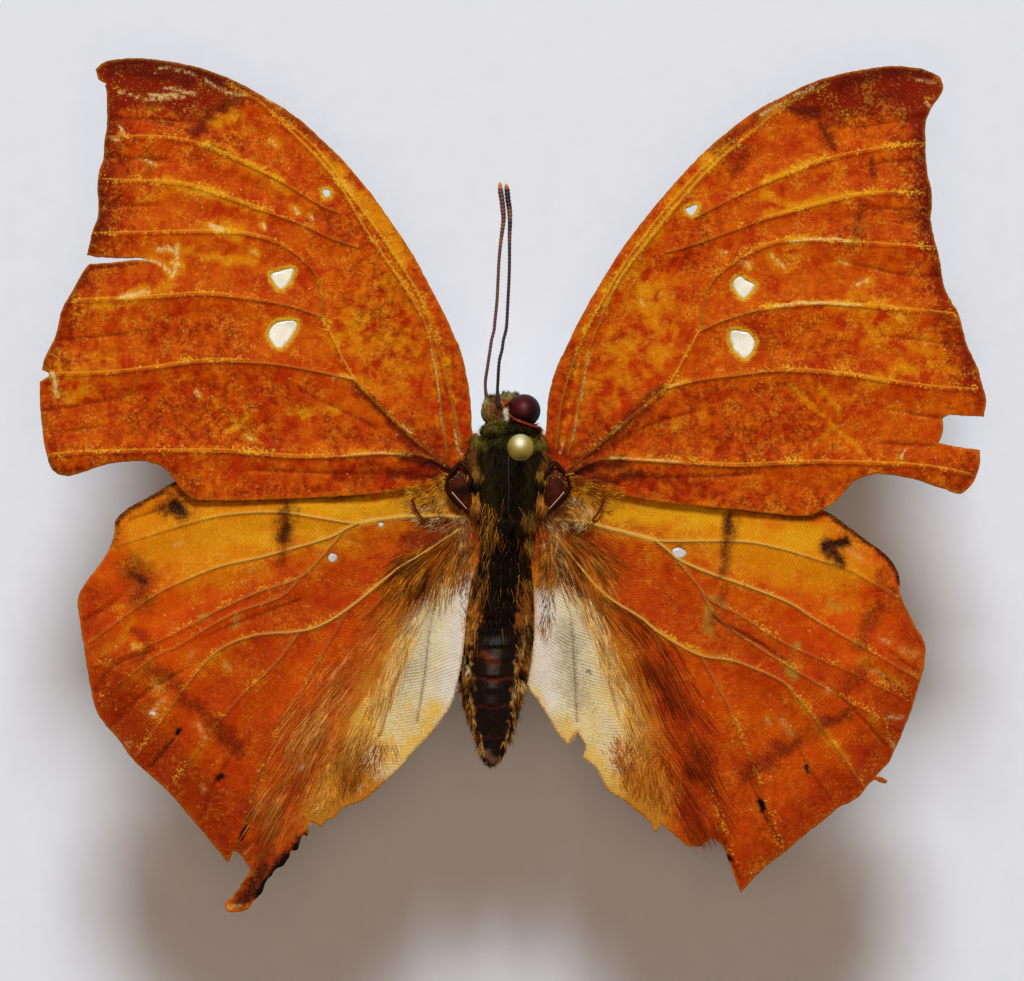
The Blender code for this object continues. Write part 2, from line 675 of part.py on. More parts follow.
def make_stand(parts, cutters):
    """The block, the pin and its pearl."""
    wide, deep, high = BASE_SIZE
    place = at(PIN_POINT)
    hole = as_cutter(rod("block_hole", place, PIN_RADIUS + GAP, high - PIN_DEPTH - GAP, high + MM, cutters),
                     cutters)
    mesh = bpy.data.meshes.new("stand_base")
    work = bmesh.new()
    bmesh.ops.create_cube(work, size=1.0)
    for vert in work.verts:
        vert.co = Vector((vert.co.x * wide, vert.co.y * deep, (vert.co.z + 0.5) * high))
    work.to_mesh(mesh)
    work.free()
    base = new_object("stand_base", mesh, parts)
    edge = base.modifiers.new("edge", "BEVEL")
    edge.width = BASE_EDGE
    edge.segments = 2
    finish(cut(base, [hole]), "block")

    point_low = high - PIN_DEPTH
    pin_top = point_low + PIN_LENGTH
    shank_low = point_low + PIN_POINT_LENGTH
    pin = turned("stand_pin", ((0, pin_top), (PIN_RADIUS, pin_top), (PIN_RADIUS, shank_low), (0, point_low)),
                 parts)
    pin.location = (place.x, place.y, 0)
    finish(pin, "steel")

    sweep = [math.pi / 2 - i * (math.pi - PEARL_FLAT) / PEARL_RINGS for i in range(PEARL_RINGS + 1)]
    profile = [(PEARL_RADIUS * math.cos(a), PEARL_RADIUS * math.sin(a)) for a in sweep]
    profile[0] = (0.0, PEARL_RADIUS)
    profile.append((0.0, profile[-1][1]))
    pearl = turned("stand_pin_head", profile, parts)
    pearl.location = (place.x, place.y, pin_top + GAP - profile[-1][1])
    finish(pearl, "pearl")


def make_body(parts, cutters):
    """Thorax, head, eyes and abdomen."""
    place = at(PIN_POINT)
    hole = as_cutter(rod("thorax_hole", place, PIN_RADIUS + GAP, BODY_HEIGHT - THROUGH,
                         BODY_HEIGHT + THROUGH, cutters), cutters)
    finish(cut(thorax_body("thorax", parts), [hole]), "fur")
    finish(loft("head", HEAD, HEAD_HEIGHT, parts), "fur")
    finish(loft("abdomen", segmented(ABDOMEN), ABDOMEN_HEIGHT, parts, droop=ABDOMEN_DROOP), "abdomen")

    clear_head = as_cutter(loft("clear_of_head", HEAD, HEAD_HEIGHT, cutters, GAP), cutters)
    for name, (point, over, radius) in EYES.items():
        spot = at(point)
        middle = Vector((spot.x, spot.y, HEAD_HEIGHT + over))
        eye = ball(name, middle, (radius, radius, radius), EYE_SIDES, parts)
        finish(cut(eye, [clear_head]), "eye")
    return clear_head


def make_feelers(parts, clear_head):
    """Antennae and palps, cut clear of the head."""
    for table, colour in ((ANTENNAE, "feeler"), (PALPS, "fur")):
        for name, (points, radii) in table.items():
            line = []
            for column, row, over in points:
                spot = at((column, row))
                line.append(Vector((spot.x, spot.y, HEAD_HEIGHT + over * MM)))
            finish(cut(tube(name, line, radii, parts), [clear_head]), colour)


def make_legs(parts, clear_thorax):
    """Three pairs of legs folded under the thorax."""
    for kind, (row, points, radii) in LEGS.items():
        for side, sign in (("left", -1), ("right", 1)):
            hip = at((BODY_LINE, row))
            line = [Vector((hip.x + sign * out * MM, hip.y + fore * MM, BODY_HEIGHT + over * MM))
                    for out, fore, over in points]
            leg = tube(f"{kind}_{side}", *bent(line, radii), parts)
            finish(cut(leg, [clear_thorax]), "leg")


def make_wings(parts, clear_thorax, clear_abdomen):
    """The four wings, cut clear of the body."""
    table = (
        ("forewing_left", FOREWING_LEFT, FOREWING_LEFT_VEINS, forewing_height),
        ("forewing_right", FOREWING_RIGHT, FOREWING_RIGHT_VEINS, forewing_height),
        ("hindwing_left", HINDWING_LEFT, HINDWING_LEFT_VEINS, hindwing_height),
        ("hindwing_right", HINDWING_RIGHT, HINDWING_RIGHT_VEINS, hindwing_height),
    )
    for name, outline, veins, height in table:
        cutters = [clear_thorax]
        if name.startswith("hindwing"):
            cutters.append(clear_abdomen)
        finish(cut(wing(name, outline, veins, height, parts), cutters), "wing")


def main():
    """Build the whole specimen in an empty scene."""
    for old in list(bpy.data.objects):
        bpy.data.objects.remove(old)
    parts = bpy.data.collections.new("leafwing_butterfly")
    cutters = bpy.data.collections.new("cutters")
    for collection in (parts, cutters):
        bpy.context.scene.collection.children.link(collection)
    make_stand(parts, cutters)
    clear_head = make_body(parts, cutters)
    clear_thorax = as_cutter(thorax_body("clear_of_thorax", cutters, GAP), cutters)
    clear_abdomen = as_cutter(loft("clear_of_abdomen", segmented(ABDOMEN), ABDOMEN_HEIGHT, cutters, GAP,
                                   ABDOMEN_DROOP), cutters)
    make_feelers(parts, clear_head)
    make_legs(parts, clear_thorax)
    make_wings(parts, clear_thorax, clear_abdomen)


main()
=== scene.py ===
import math

import bmesh
import bpy
import numpy as np
from mathutils import Matrix, Vector
from mathutils.geometry import delaunay_2d_cdt
from mathutils.kdtree import KDTree


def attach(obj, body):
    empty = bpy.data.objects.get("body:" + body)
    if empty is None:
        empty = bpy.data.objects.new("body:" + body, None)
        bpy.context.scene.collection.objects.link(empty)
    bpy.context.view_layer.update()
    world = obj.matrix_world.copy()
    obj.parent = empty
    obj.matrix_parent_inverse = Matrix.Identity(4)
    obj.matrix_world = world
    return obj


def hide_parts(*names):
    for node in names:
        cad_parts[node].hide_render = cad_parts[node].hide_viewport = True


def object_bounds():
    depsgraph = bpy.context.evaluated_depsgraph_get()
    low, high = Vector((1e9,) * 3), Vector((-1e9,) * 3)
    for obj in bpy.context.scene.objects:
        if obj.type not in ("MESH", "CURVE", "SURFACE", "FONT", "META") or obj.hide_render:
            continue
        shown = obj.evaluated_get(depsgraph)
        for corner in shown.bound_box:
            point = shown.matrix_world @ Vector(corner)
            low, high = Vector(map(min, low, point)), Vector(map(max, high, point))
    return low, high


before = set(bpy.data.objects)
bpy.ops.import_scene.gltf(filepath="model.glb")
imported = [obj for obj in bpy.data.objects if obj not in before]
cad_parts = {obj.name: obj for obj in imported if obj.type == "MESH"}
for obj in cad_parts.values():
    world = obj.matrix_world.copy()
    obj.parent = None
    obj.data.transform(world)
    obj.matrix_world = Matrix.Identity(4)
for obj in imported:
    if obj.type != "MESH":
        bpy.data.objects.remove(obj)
cadLow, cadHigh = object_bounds()
print("frame loaded,", len(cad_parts), "nodes")

# Everything below is drawn in millimetres and scaled to metres at the end of each piece.
# Outlines, veins and marks stand on the part's drawing grid: x to the right, y down.
drawing = {"spanMm": 61.2, "steps": 942, "originX": 512, "originY": 556, "bodyLine": 508}
gridStep = drawing["spanMm"] / drawing["steps"]
toMetres = 0.001


def onGrid(points):
    points = np.array(points, float).reshape(-1, 2)
    return np.column_stack(((points[:, 0] - drawing["originX"]) * gridStep,
                            (drawing["originY"] - points[:, 1]) * gridStep))


def rowOf(places):
    # the grid row of places in millimetres
    return drawing["originY"] - places[:, 1] / gridStep


def colour(red, green, blue):
    # screen colour, 0 to 255, to the linear values that the shaders take
    linear = [c / 255 / 12.92 if c < 10.3 else ((c / 255 + 0.055) / 1.055) ** 2.4 for c in (red, green, blue)]
    return (*linear, 1.0)


def smoothRun(points, step, parts=12, closed=False):
    # a smooth curve through the points, resampled about a step apart
    points = np.array(points, float)
    if len(points) == 2:
        count = max(1, round(float(np.linalg.norm(points[1] - points[0])) / step))
        return points[0] + (points[1] - points[0]) * np.linspace(0, 1, count + 1)[:, None]
    if closed:
        ends = np.vstack((points[-1:], points, points[:2]))
    else:
        ends = np.vstack((2 * points[0] - points[1], points, 2 * points[-1] - points[-2]))
    t = (np.arange(parts) / parts)[:, None]
    fine = [0.5 * (2 * b + (c - a) * t + (2 * a - 5 * b + 4 * c - d) * t ** 2
                   + (3 * b - a - 3 * c + d) * t ** 3)
            for a, b, c, d in zip(ends, ends[1:], ends[2:], ends[3:])]
    fine = np.vstack(fine + [ends[-2:-1]])
    walked = np.concatenate(([0], np.cumsum(np.linalg.norm(np.diff(fine, axis=0), axis=1))))
    marks = np.linspace(0, walked[-1], max(2, round(walked[-1] / step)) + 1)
    return np.column_stack([np.interp(marks, walked, fine[:, k]) for k in range(fine.shape[1])])


def ringOf(runs, step):
    return np.vstack([smoothRun(onGrid(run), step)[:-1] for run in runs])


def closedRing(points, step):
    return smoothRun(onGrid(points), step, closed=True)[:-1]


def looped(ring):
    return np.vstack((ring, ring[:1]))


def distanceTo(places, line, reach=1e6):
    # shortest way from each place to a broken line, and how far along the line it is, 0 to 1;
    # places out of reach keep a large distance
    line = np.array(line, float)
    best = np.full(len(places), 1e9)
    share = np.zeros(len(places))
    lengths = np.linalg.norm(np.diff(line, axis=0), axis=1)
    before = np.concatenate(([0], np.cumsum(lengths)))
    for a, b, length, start in zip(line, line[1:], lengths, before):
        near = (places > np.minimum(a, b) - reach) & (places < np.maximum(a, b) + reach)
        near = np.flatnonzero(np.all(near, axis=1))
        spots = places[near]
        along = b - a
        t = np.clip((spots - a) @ along / max(length * length, 1e-12), 0, 1)
        gap = spots - a - t[:, None] * along
        far = np.hypot(gap[:, 0], gap[:, 1])
        closer = far < best[near]
        best[near[closer]] = far[closer]
        share[near[closer]] = (start + t[closer] * length) / before[-1]
    return best, share


def reachTo(places, spots):
    # distance from each place to the nearest of many spots
    tree = KDTree(len(spots))
    for number, spot in enumerate(spots):
        tree.insert((spot[0], spot[1], 0), number)
    tree.balance()
    return np.array([tree.find((x, y, 0))[2] for x, y in places.tolist()])


def insideRing(places, ring):
    x, y = places[:, 0], places[:, 1]
    odd = np.zeros(len(places), bool)
    for a, b in zip(ring, np.roll(ring, -1, axis=0)):
        if a[1] != b[1]:
            crosses = (a[1] > y) != (b[1] > y)
            odd ^= crosses & (x < a[0] + (y - a[1]) * (b[0] - a[0]) / (b[1] - a[1]))
    return odd


def cloud(places, size, seed):
    # smooth seeded noise, 0 to 1, with bumps about one size across
    lattice = np.random.default_rng(seed).random((64, 64))
    spots = places / size
    low = np.floor(spots).astype(int)
    t = spots - low
    t = t * t * (3 - 2 * t)
    a, b = low[:, 0] % 64, low[:, 1] % 64
    c, d = (a + 1) % 64, (b + 1) % 64
    near = lattice[a, b] * (1 - t[:, 0]) + lattice[c, b] * t[:, 0]
    far = lattice[a, d] * (1 - t[:, 0]) + lattice[c, d] * t[:, 0]
    return near * (1 - t[:, 1]) + far * t[:, 1]


def softStep(values, low, high):
    t = np.clip((values - low) / (high - low), 0, 1)
    return t * t * (3 - 2 * t)


def newObject(name, mesh):
    made = bpy.data.objects.new(name, mesh)
    bpy.context.scene.collection.objects.link(made)
    return made


def paint(piece, name, values):
    # one number, vector or colour for each point of a piece
    values = np.asarray(values, np.float32)
    kind, field = {1: ("FLOAT", "value"), 3: ("FLOAT_VECTOR", "vector"), 4: ("FLOAT_COLOR", "color")}[
        1 if values.ndim == 1 else values.shape[1]]
    layer = piece.data.attributes.get(name) or piece.data.attributes.new(name, kind, "POINT")
    layer.data.foreach_set(field, values.ravel())


def paintTone(piece, tone):
    paint(piece, "tone", np.column_stack((tone, np.ones(len(tone)))))


def plainTone(shade, count):
    return np.tile(colour(*shade)[:3], (count, 1))


def laidOver(tone, shade, mask):
    # a screen colour over painted tones, as strongly as the mask says
    return tone * (1 - mask[:, None]) + np.array(colour(*shade)[:3]) * mask[:, None]


def cornersOf(mesh):
    corners = np.empty(len(mesh.loops), np.int64)
    mesh.loops.foreach_get("vertex_index", corners)
    return corners


def mapSkin(mesh, spots):
    # one spot on the bake map for each corner
    mesh.uv_layers.new(name="skinMap").data.foreach_set("uv", spots.astype(np.float32).ravel())


def placesOf(piece):
    flat = np.empty(len(piece.data.vertices) * 3, np.float32)
    piece.data.vertices.foreach_get("co", flat)
    return flat.reshape(-1, 3).astype(float)


def settle(piece, replaced=(), body="root"):
    # scale a finished piece to metres and tie it to the frame
    piece.data.transform(Matrix.Scale(toMetres, 4))
    piece.data.update()
    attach(piece, body)
    if replaced:
        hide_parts(*replaced)


# Shader helpers
def addNode(tree, kind, inputs=None, **settings):
    node = tree.nodes.new(kind)
    for key, value in settings.items():
        setattr(node, key, value)
    for key, value in (inputs or {}).items():
        socket = node.inputs[key]
        if isinstance(value, bpy.types.NodeSocket):
            tree.links.new(value, socket)
        else:
            socket.default_value = value
    return node


def calc(tree, operation, *values, clamp=False):
    node = addNode(tree, "ShaderNodeMath", dict(enumerate(values)), operation=operation, use_clamp=clamp)
    return node.outputs[0]


def times(tree, first, *others):
    for value in others:
        first = calc(tree, "MULTIPLY", first, value)
    return first


def vectorCalc(tree, operation, inputs, output=0):
    return addNode(tree, "ShaderNodeVectorMath", inputs, operation=operation).outputs[output]


def mixed(tree, factor, first, second, blend="MIX"):
    inputs = {0: factor, 6: first, 7: second}
    return addNode(tree, "ShaderNodeMix", inputs, data_type="RGBA", blend_type=blend).outputs[2]


def layerOf(tree, name, output="Fac"):
    return addNode(tree, "ShaderNodeAttribute", attribute_name=name).outputs[output]


def ramp(tree, value, low, high, toLow=0.0, toHigh=1.0):
    node = addNode(tree, "ShaderNodeMapRange", {0: value, 1: low, 2: high, 3: toLow, 4: toHigh}, clamp=True)
    return node.outputs[0]


def newGroup(name, kind, inputs, outputs):
    # a node group with named sockets, some with a start value; returns the tree, its input and output nodes
    tree = bpy.data.node_groups.new(name, kind)
    for title, socketKind, *value in inputs:
        socket = tree.interface.new_socket(title, in_out="INPUT", socket_type="NodeSocket" + socketKind)
        if value:
            socket.default_value = value[0]
    for title, socketKind in outputs:
        tree.interface.new_socket(title, in_out="OUTPUT", socket_type="NodeSocket" + socketKind)
    return tree, tree.nodes.new("NodeGroupInput"), tree.nodes.new("NodeGroupOutput")


def useGroup(tree, group, **inputs):
    return addNode(tree, "ShaderNodeGroup", inputs, node_tree=group).outputs


def newMaterial(name, roughness, specular):
    made = bpy.data.materials.new(name)
    made.use_nodes = True
    shader = made.node_tree.nodes["Principled BSDF"]
    shader.inputs["Roughness"].default_value = roughness
    shader.inputs["Specular IOR Level"].default_value = specular
    return made, made.node_tree, shader


def dress(tree, shader, tone, height=None, strength=0.5, deep=0.03):
    # the tone of a surface, and bumps so many millimetres deep
    tree.links.new(tone, shader.inputs["Base Color"])
    if height is not None:
        bump = {"Strength": strength, "Distance": deep * toMetres, "Height": height}
        tree.links.new(addNode(tree, "ShaderNodeBump", bump).outputs[0], shader.inputs["Normal"])


def noiseOn(tree, place, scale, detail, rough=0.5, sway=0.0):
    return addNode(tree, "ShaderNodeTexNoise", {"Vector": place, "Scale": scale, "Detail": detail,
                                                "Roughness": rough, "Distortion": sway}).outputs[0]


def millimetres(tree):
    # place on the piece, in millimetres
    coords = tree.nodes.new("ShaderNodeTexCoord")
    return vectorCalc(tree, "SCALE", {0: coords.outputs["Object"], 3: 1 / toMetres})


def makeScaleGroup():
    # wing scales: blotches, small mottles, grain, gold flecks, rows of scales round the wing's root, and dust
    titles = ("Blotch", "Mottle", "Grain", "Fleck", "Rows", "Dust", "Soot")
    tree, given, result = newGroup("wingScales", "ShaderNodeTree", (
        ("Place", "Vector"), ("Root", "Vector"), ("Pitch", "Float", 0.155), ("Blotch Size", "Float", 1.1)),
        [(title, "Float") for title in titles])
    place = given.outputs["Place"]

    def noise(*values):
        return noiseOn(tree, place, *values)

    out = vectorCalc(tree, "SUBTRACT", {0: place, 1: given.outputs["Root"]})
    far = vectorCalc(tree, "LENGTH", {0: out}, "Value")
    blotch = noise(calc(tree, "DIVIDE", 1.0, given.outputs["Blotch Size"]), 5.0, 0.62, 0.4)
    turn = calc(tree, "DIVIDE", far, given.outputs["Pitch"])
    turn = calc(tree, "ADD", turn, times(tree, noise(0.35, 1.0), 3.0))
    rows = calc(tree, "SINE", times(tree, turn, 2 * math.pi))
    # flecks stand in clusters
    flecks = calc(tree, "ADD", noise(5.2, 2.0, 0.75, 0.3), times(tree, noise(0.8, 2.0), 0.55))
    cells = addNode(tree, "ShaderNodeTexVoronoi", {"Vector": place, "Scale": 1.6}).outputs
    pick = addNode(tree, "ShaderNodeSeparateColor", {0: cells["Color"]}).outputs
    dust = times(tree, ramp(tree, cells["Distance"], 0.06, 0.13, 1.0, 0.0), ramp(tree, pick[0], 0.78, 0.86))
    soot = times(tree, ramp(tree, cells["Distance"], 0.05, 0.11, 1.0, 0.0), ramp(tree, pick[1], 0.94, 0.97))
    values = (ramp(tree, blotch, 0.36, 0.64), ramp(tree, noise(1.9, 4.0, 0.7, 0.3), 0.42, 0.66),
              ramp(tree, noise(6.0, 2.0, 0.8), 0.3, 0.7), ramp(tree, flecks, 0.83, 0.93),
              ramp(tree, rows, -1.0, 1.0), dust, soot)
    for title, value in zip(titles, values):
        tree.links.new(value, result.inputs[title])
    return tree


def makeRaggedGroup():
    # roughens the half-tones of a painted mask, and leaves its full and empty parts alone
    tree, given, result = newGroup("raggedMask", "ShaderNodeTree", (
        ("Mask", "Float", 0.0), ("Grain", "Float", 0.5), ("Amount", "Float", 1.0)), (("Mask", "Float"),))
    mask = given.outputs["Mask"]
    middle = times(tree, mask, calc(tree, "SUBTRACT", 1.0, mask), 4.0)
    push = times(tree, calc(tree, "SUBTRACT", given.outputs["Grain"], 0.5), given.outputs["Amount"])
    tree.links.new(calc(tree, "ADD", mask, times(tree, middle, push), clamp=True), result.inputs["Mask"])
    return tree


scaleGroup = makeScaleGroup()
raggedGroup = makeRaggedGroup()

# Wings
wingLay = {
    "foreHeight": 24.2, "hindDrop": 0.95,       # undersides of the solids over the floor
    "rise": 0.05, "riseFrom": 3.0,
    "foreArch": 0.5, "foreChord": 26.0, "hindArch": 0.4, "hindChord": 24.0,
    "overlapRow": 490,
    "foreSheet": 0.14, "hindSheet": 0.38,       # the thin sheet inside the solid, over its underside
    "thickness": 0.07,
    "spacing": 0.17, "edgeSpacing": 0.12,       # of the mesh
    "ragged": 0.045,
    "spacingOfWindow": 0.15, "edgeOfWindow": 0.11, "raggedWindow": 0.06, "filmThickness": 0.03,
    "veinRise": 0.17, "veinReach": 0.21, "pleatDepth": 0.11, "pleatReach": 0.20, "trough": 0.16,
}
# each wing, with places as x and y in turn: outline in smooth runs that meet at corners, windows, veins after
# their size, pleats, areas after the width of their soft edge, and strokes after their strength and radius
wings = {
    "forewing_left": {
        "kind": "fore", "rowRoot": (478, 462), "seed": 11,
        "outline": ((475,443, 472,428, 471,405, 468,383, 461,352, 454,335, 444,313, 425,277, 410,250, 393,225,
             378,203, 360,180, 340,157, 320,138, 300,120, 280,106, 260,94.5, 240,83.5, 220,75, 200,68,
             180,63.5, 160,60.5, 140,58.5, 120,59.5, 110,61, 103,64, 98,67.5, 96,70), (96,70, 98,78, 100,81,
             107,84), (107,84, 105.5,87, 107.5,95, 107.5,125, 105.5,140, 104,160, 101,168, 99.5,175, 98.5,190,
             99.5,205, 98.5,218, 94,230, 90.5,245, 88,255.5), (88,255.5, 99,257.7, 120,258.8, 139,258.4,
             146,260), (146,260, 139,260.4, 125,261.5, 108,263.5, 91,264), (91,264, 87,268, 79,281, 70,297,
             63,310, 57,335, 50,350, 45,361, 43.5,370), (43.5,370, 50.5,374.5, 46,379, 41,382), (41,382,
             41,405, 43,425, 46,448, 53,469, 65,476, 80,473.5, 110,464, 138,461, 152,463, 163,467, 172,476,
             180,487, 189,496, 200,500, 260,500, 360,495, 440,484, 482,472), (482,472, 475,443)),
        "windows": ((271,275, 281,271, 293,269, 292,277, 287,285, 281,289, 275,284), (269,337, 272,327,
             280,322, 292,321, 297,324, 294,333, 287,343, 281,348, 275,346), (323,191, 327,189.5, 330,192.5,
             329,196, 325,197)),
        "veins": ((1, 461,446, 451,400, 425,310, 390,250, 350,195, 318,152, 280,118), (1, 447,452, 440,400,
             430,340, 412,300, 365,230, 335,180, 300,142, 262,106, 225,84), (0.8, 340,213, 320,205, 280,181,
             240,162, 200,146, 160,139, 105,140), (0.8, 358,247, 335,240, 300,224, 260,210, 220,196, 180,185,
             101,182), (0.8, 323,318, 322,300, 317,277, 305,262, 285,247, 260,238, 220,233, 95,236), (0.9,
             322,317, 300,309, 280,304, 240,298, 200,295, 160,298, 68,303), (1, 353,379, 320,372, 280,365,
             240,362, 200,362.5, 120,373, 50,376), (1.1, 470,474, 452,468, 420,445, 400,427, 380,408, 353,378,
             333,340, 322,317), (1.1, 468,476, 450,470, 440,463, 418,455, 380,454, 300,457.5, 220,452,
             100,453, 50,457)),
        "pleats": ((108,118, 180,122, 215,130), (105,158, 155,160, 200,168), (100,207, 180,205), (92,270,
             160,261), (57,341, 140,333, 190,328), (43,412, 120,398, 160,385), (60,433, 120,424), (300,390,
             360,420, 410,450), (250,470, 360,474, 430,470)),
        "areas": {
            "warm": (16, 90,62, 140,50, 200,58, 262,88, 242,104, 206,112, 190,130, 162,122, 132,114, 120,150,
                     114,200, 106,262, 80,264, 84,150)},
        "marks": {
            "warm": ((1,34, 100,90, 106,130, 100,180, 98,215, 90,252), (1,26, 105,66, 140,62, 180,70, 225,84),
                (0.75,26, 86,265, 66,310, 50,355), (0.6,22, 44,385, 44,430, 58,470), (0.6,18, 80,470, 140,462,
                 178,480, 200,498), (0.45,44, 140,405, 200,420, 250,430), (0.5,22, 200,150, 235,145), (0.5,20,
                 330,215, 350,235), (0.4,22, 190,385, 240,385, 300,400), (0.5,12, 200,494, 330,490, 440,480),
                (0.5,22, 455,350, 466,400, 472,440), (0.6,16, 420,452, 380,440, 330,430), (0.4,26, 160,330,
                 230,340), (0.45,60, 470,400, 462,440, 430,440), (0.7,12, 462,345, 470,390, 474,430), (0.6,9,
                 448,340, 460,400, 466,440), (0.8,20, 470,450, 440,445, 415,430), (0.8,14, 470,482, 440,478,
                 400,474, 340,474), (0.35,14, 300,116, 360,176, 410,246, 446,330), (0.4,40, 376,290,
                 392,350)),
            "darkMarkAndShade": ((0.9,10, 112,66, 150,62, 190,69, 220,80), (0.75,7, 130,72, 160,74, 190,82), (0.55,7,
                 225,80, 260,96, 300,122, 335,154), (0.85,8, 196,134, 202,126, 208,116), (0.8,7, 206,112,
                 222,107, 238,102), (0.6,9, 107,110, 107,150), (0.65,9, 100,185, 100,225), (0.5,8, 95,236,
                 90,254), (0.55,7, 82,275, 66,310), (0.4,6, 54,345, 46,366), (0.5,6, 50,460, 60,474, 80,472),
                # strokes near the root (x over 350) are painted shade under the veins; the others are the
                # wing's dark marks
                (0.6,4, 400,438, 430,462, 462,480), (0.5,4, 420,462, 450,478), (0.4,3, 92,268, 150,263),
                (0.4,6, 148,150, 150,172), (0.8,6, 356,387, 394,424, 418,446, 446,462), (1,8, 456,472,
                 432,464, 406,457), (0.85,6, 462,480, 430,476, 390,472), (0.6,4, 372,402, 396,428, 420,448)),
            "yellow": ((0.9,8, 322,158, 345,180, 362,200, 384,228, 400,256), (0.6,3.5, 425,306, 444,350,
                 452,400, 458,440), (0.8,6, 205,146, 225,152, 255,168, 290,190), (0.8,6, 160,184, 200,190,
                 230,200, 262,212), (0.5,24, 385,290, 395,330, 385,370), (0.45,20, 345,340, 360,320), (0.7,5,
                 288,412, 310,414, 335,411), (0.6,8, 165,288, 130,296, 100,306), (0.7,10, 218,122, 232,118,
                 244,126), (0.6,10, 60,388, 90,396), (0.7,3, 262,444, 240,425, 215,402), (0.7,3, 228,432,
                 255,410), (0.6,5, 250,262, 210,258, 180,252), (0.45,14, 110,365, 70,370, 50,368), (0.5,8,
                 150,106, 180,116, 200,108), (0.5,10, 200,225, 240,232)),
            # painted shade under the root's veins
            "blackAndShade": ((0.6,4, 452,472, 428,463),),
            # the first six strokes, on the veins near the root, are painted highlights; the rest are worn,
            # pale scales
            "wornAndGlint": ((0.55,0.9, 431,350, 437,376, 439,402), (0.5,0.9, 440,410, 442,430), (0.45,0.8, 334,378,
                 344,376, 354,380), (0.5,0.9, 340,456, 380,453, 410,455), (0.5,1.2, 454,430, 458,446,
                 462,456), (0.4,0.8, 402,424, 412,434), (0.9,1.7, 150,96, 165,96.5, 178,96), (0.6,1, 118,92,
                 150,100, 185,97), (0.6,1.6, 165,88, 195,94), (0.8,2.4, 160,250, 168,248, 176,252), (0.95,1.6,
                 177,244, 178,258, 174,276), (0.8,1.2, 172,262, 181,266), (1,1.3, 146,260, 156,262, 163,266,
                 171,273), (0.8,2.4, 122,297, 140,294, 150,292), (0.85,3.2, 210,226, 222,230), (0.9,2.2,
                 53,374, 56,382, 58,396), (0.7,1.6, 120,126, 124,134), (0.7,1.8, 113,140, 120,141), (0.8,2,
                 296,208, 298,214), (0.8,1.8, 312,217, 314,220), (0.8,2, 264,225, 266,228), (0.6,1.2, 146,160,
                 156,166), (0.8,1.8, 196,391, 199,396), (0.5,1.3, 160,68, 180,70, 196,76), (0.5,1.5, 205,80,
                 225,92, 245,96), (0.5,1.2, 236,80, 262,94, 280,108), (0.6,1.2, 247,436, 252,440), (0.5,1.2,
                 270,140, 276,146), (0.6,1.4, 252,252, 256,254))},
    },
    "forewing_right": {
        "kind": "fore", "rowRoot": (540, 462), "seed": 23,
        "outline": ((541,443, 546,430, 547.5,405, 551,385, 559,362, 566,348, 580,319, 600,284, 622,249,
             650,212, 675,183, 700,156, 720,138, 740,122, 760,108.5, 780,98, 800,88, 820,80, 840,74.5,
             860,70.5, 880,67.5, 895,66.5, 905,67, 920,69, 932,73), (932,73, 939,78, 942,84, 942.5,89, 940,95,
             937,100, 932,107, 928,115, 925,124, 924.5,140, 926,168, 930,190, 931,205, 929.5,220), (929.5,220,
             933,238, 938.5,260, 943,287, 950,302, 957,314, 966,345, 976,367, 981,385, 985,400, 983,417),
            (983,417, 965,416, 949,415), (949,415, 942,419, 942.5,430, 938,443), (938,443, 958,447, 979,450),
            (979,450, 979,462, 973,481, 960,493.5, 940,488, 910,478.5, 880,474, 864,477, 852,483, 837,500,
             820,511, 800,516, 740,510, 660,502, 600,490, 534,474), (534,474, 541,443)),
        "windows": ((733,283, 737,278, 741,277, 746,281, 753,284, 754,287, 748,295, 743,298, 737,294),
            (730,333, 735,331, 743,332, 748,333, 753,339, 754,346, 750,354, 745,358, 740,356, 733,348),
            (686,210, 691,207, 697,206, 695,212, 690,216)),
        "veins": ((1, 556,448, 562,400, 580,345, 606,296, 640,243, 690,183, 735,140), (1, 568,454, 580,400,
             586,360, 600,322, 620,280, 650,240, 680,203, 710,170, 745,140, 785,108, 830,86), (0.8, 695,218,
             725,202, 755,188, 790,174, 830,160, 880,150, 924,146), (0.8, 667,252, 690,246, 730,232, 760,221,
             790,213, 830,202, 870,195, 929,196), (0.8, 700,331, 702,318, 705,300, 714,279, 740,259, 765,247,
             800,241, 880,246, 934,250), (0.9, 700,331, 725,320, 760,310, 800,306, 840,305, 953,316), (1,
             667,388, 700,380, 740,375, 780,371, 840,375, 920,387, 979,392), (1.1, 545,476, 563,472, 590,452,
             610,436, 640,411, 667,388, 685,358, 700,331), (1.1, 548,476, 568,474, 590,463, 610,459, 680,463,
             740,466, 820,463, 920,467, 974,477)),
        "pleats": ((925,116, 870,126, 820,130), (926,160, 880,164, 840,176), (929,213, 880,209, 850,212),
            (941,277, 900,275, 840,262, 800,262), (965,347, 900,338, 850,336), (984,425, 900,412, 850,404),
            (700,410, 650,425, 610,450), (760,474, 660,478, 590,474), (930,446, 860,442)),
        "areas": {
            "warm": (16, 948,64, 900,58, 840,66, 788,92, 802,110, 832,128, 866,124, 896,120, 904,150, 906,200,
                     916,240, 932,290, 950,290, 944,200, 940,120)},
        "marks": {
            "warm": ((1,32, 938,84, 926,110, 924,150, 930,200, 932,240), (1,26, 925,76, 890,70, 850,76,
                 810,90), (0.85,26, 938,260, 950,305, 965,350, 982,390), (0.6,24, 975,470, 950,486), (0.5,16,
                 940,486, 880,474, 840,496, 810,510), (0.45,44, 800,420, 740,440, 680,440), (0.5,20, 690,260,
                 700,232), (0.5,18, 735,170, 740,150), (0.4,24, 850,232, 862,214), (0.5,14, 800,505, 700,498,
                 580,480), (0.5,22, 562,360, 552,400, 546,440), (0.6,16, 590,456, 630,436, 670,426), (0.35,30,
                 700,400, 780,390), (0.4,24, 760,330, 830,350), (0.45,60, 552,400, 556,440, 590,440), (0.7,12,
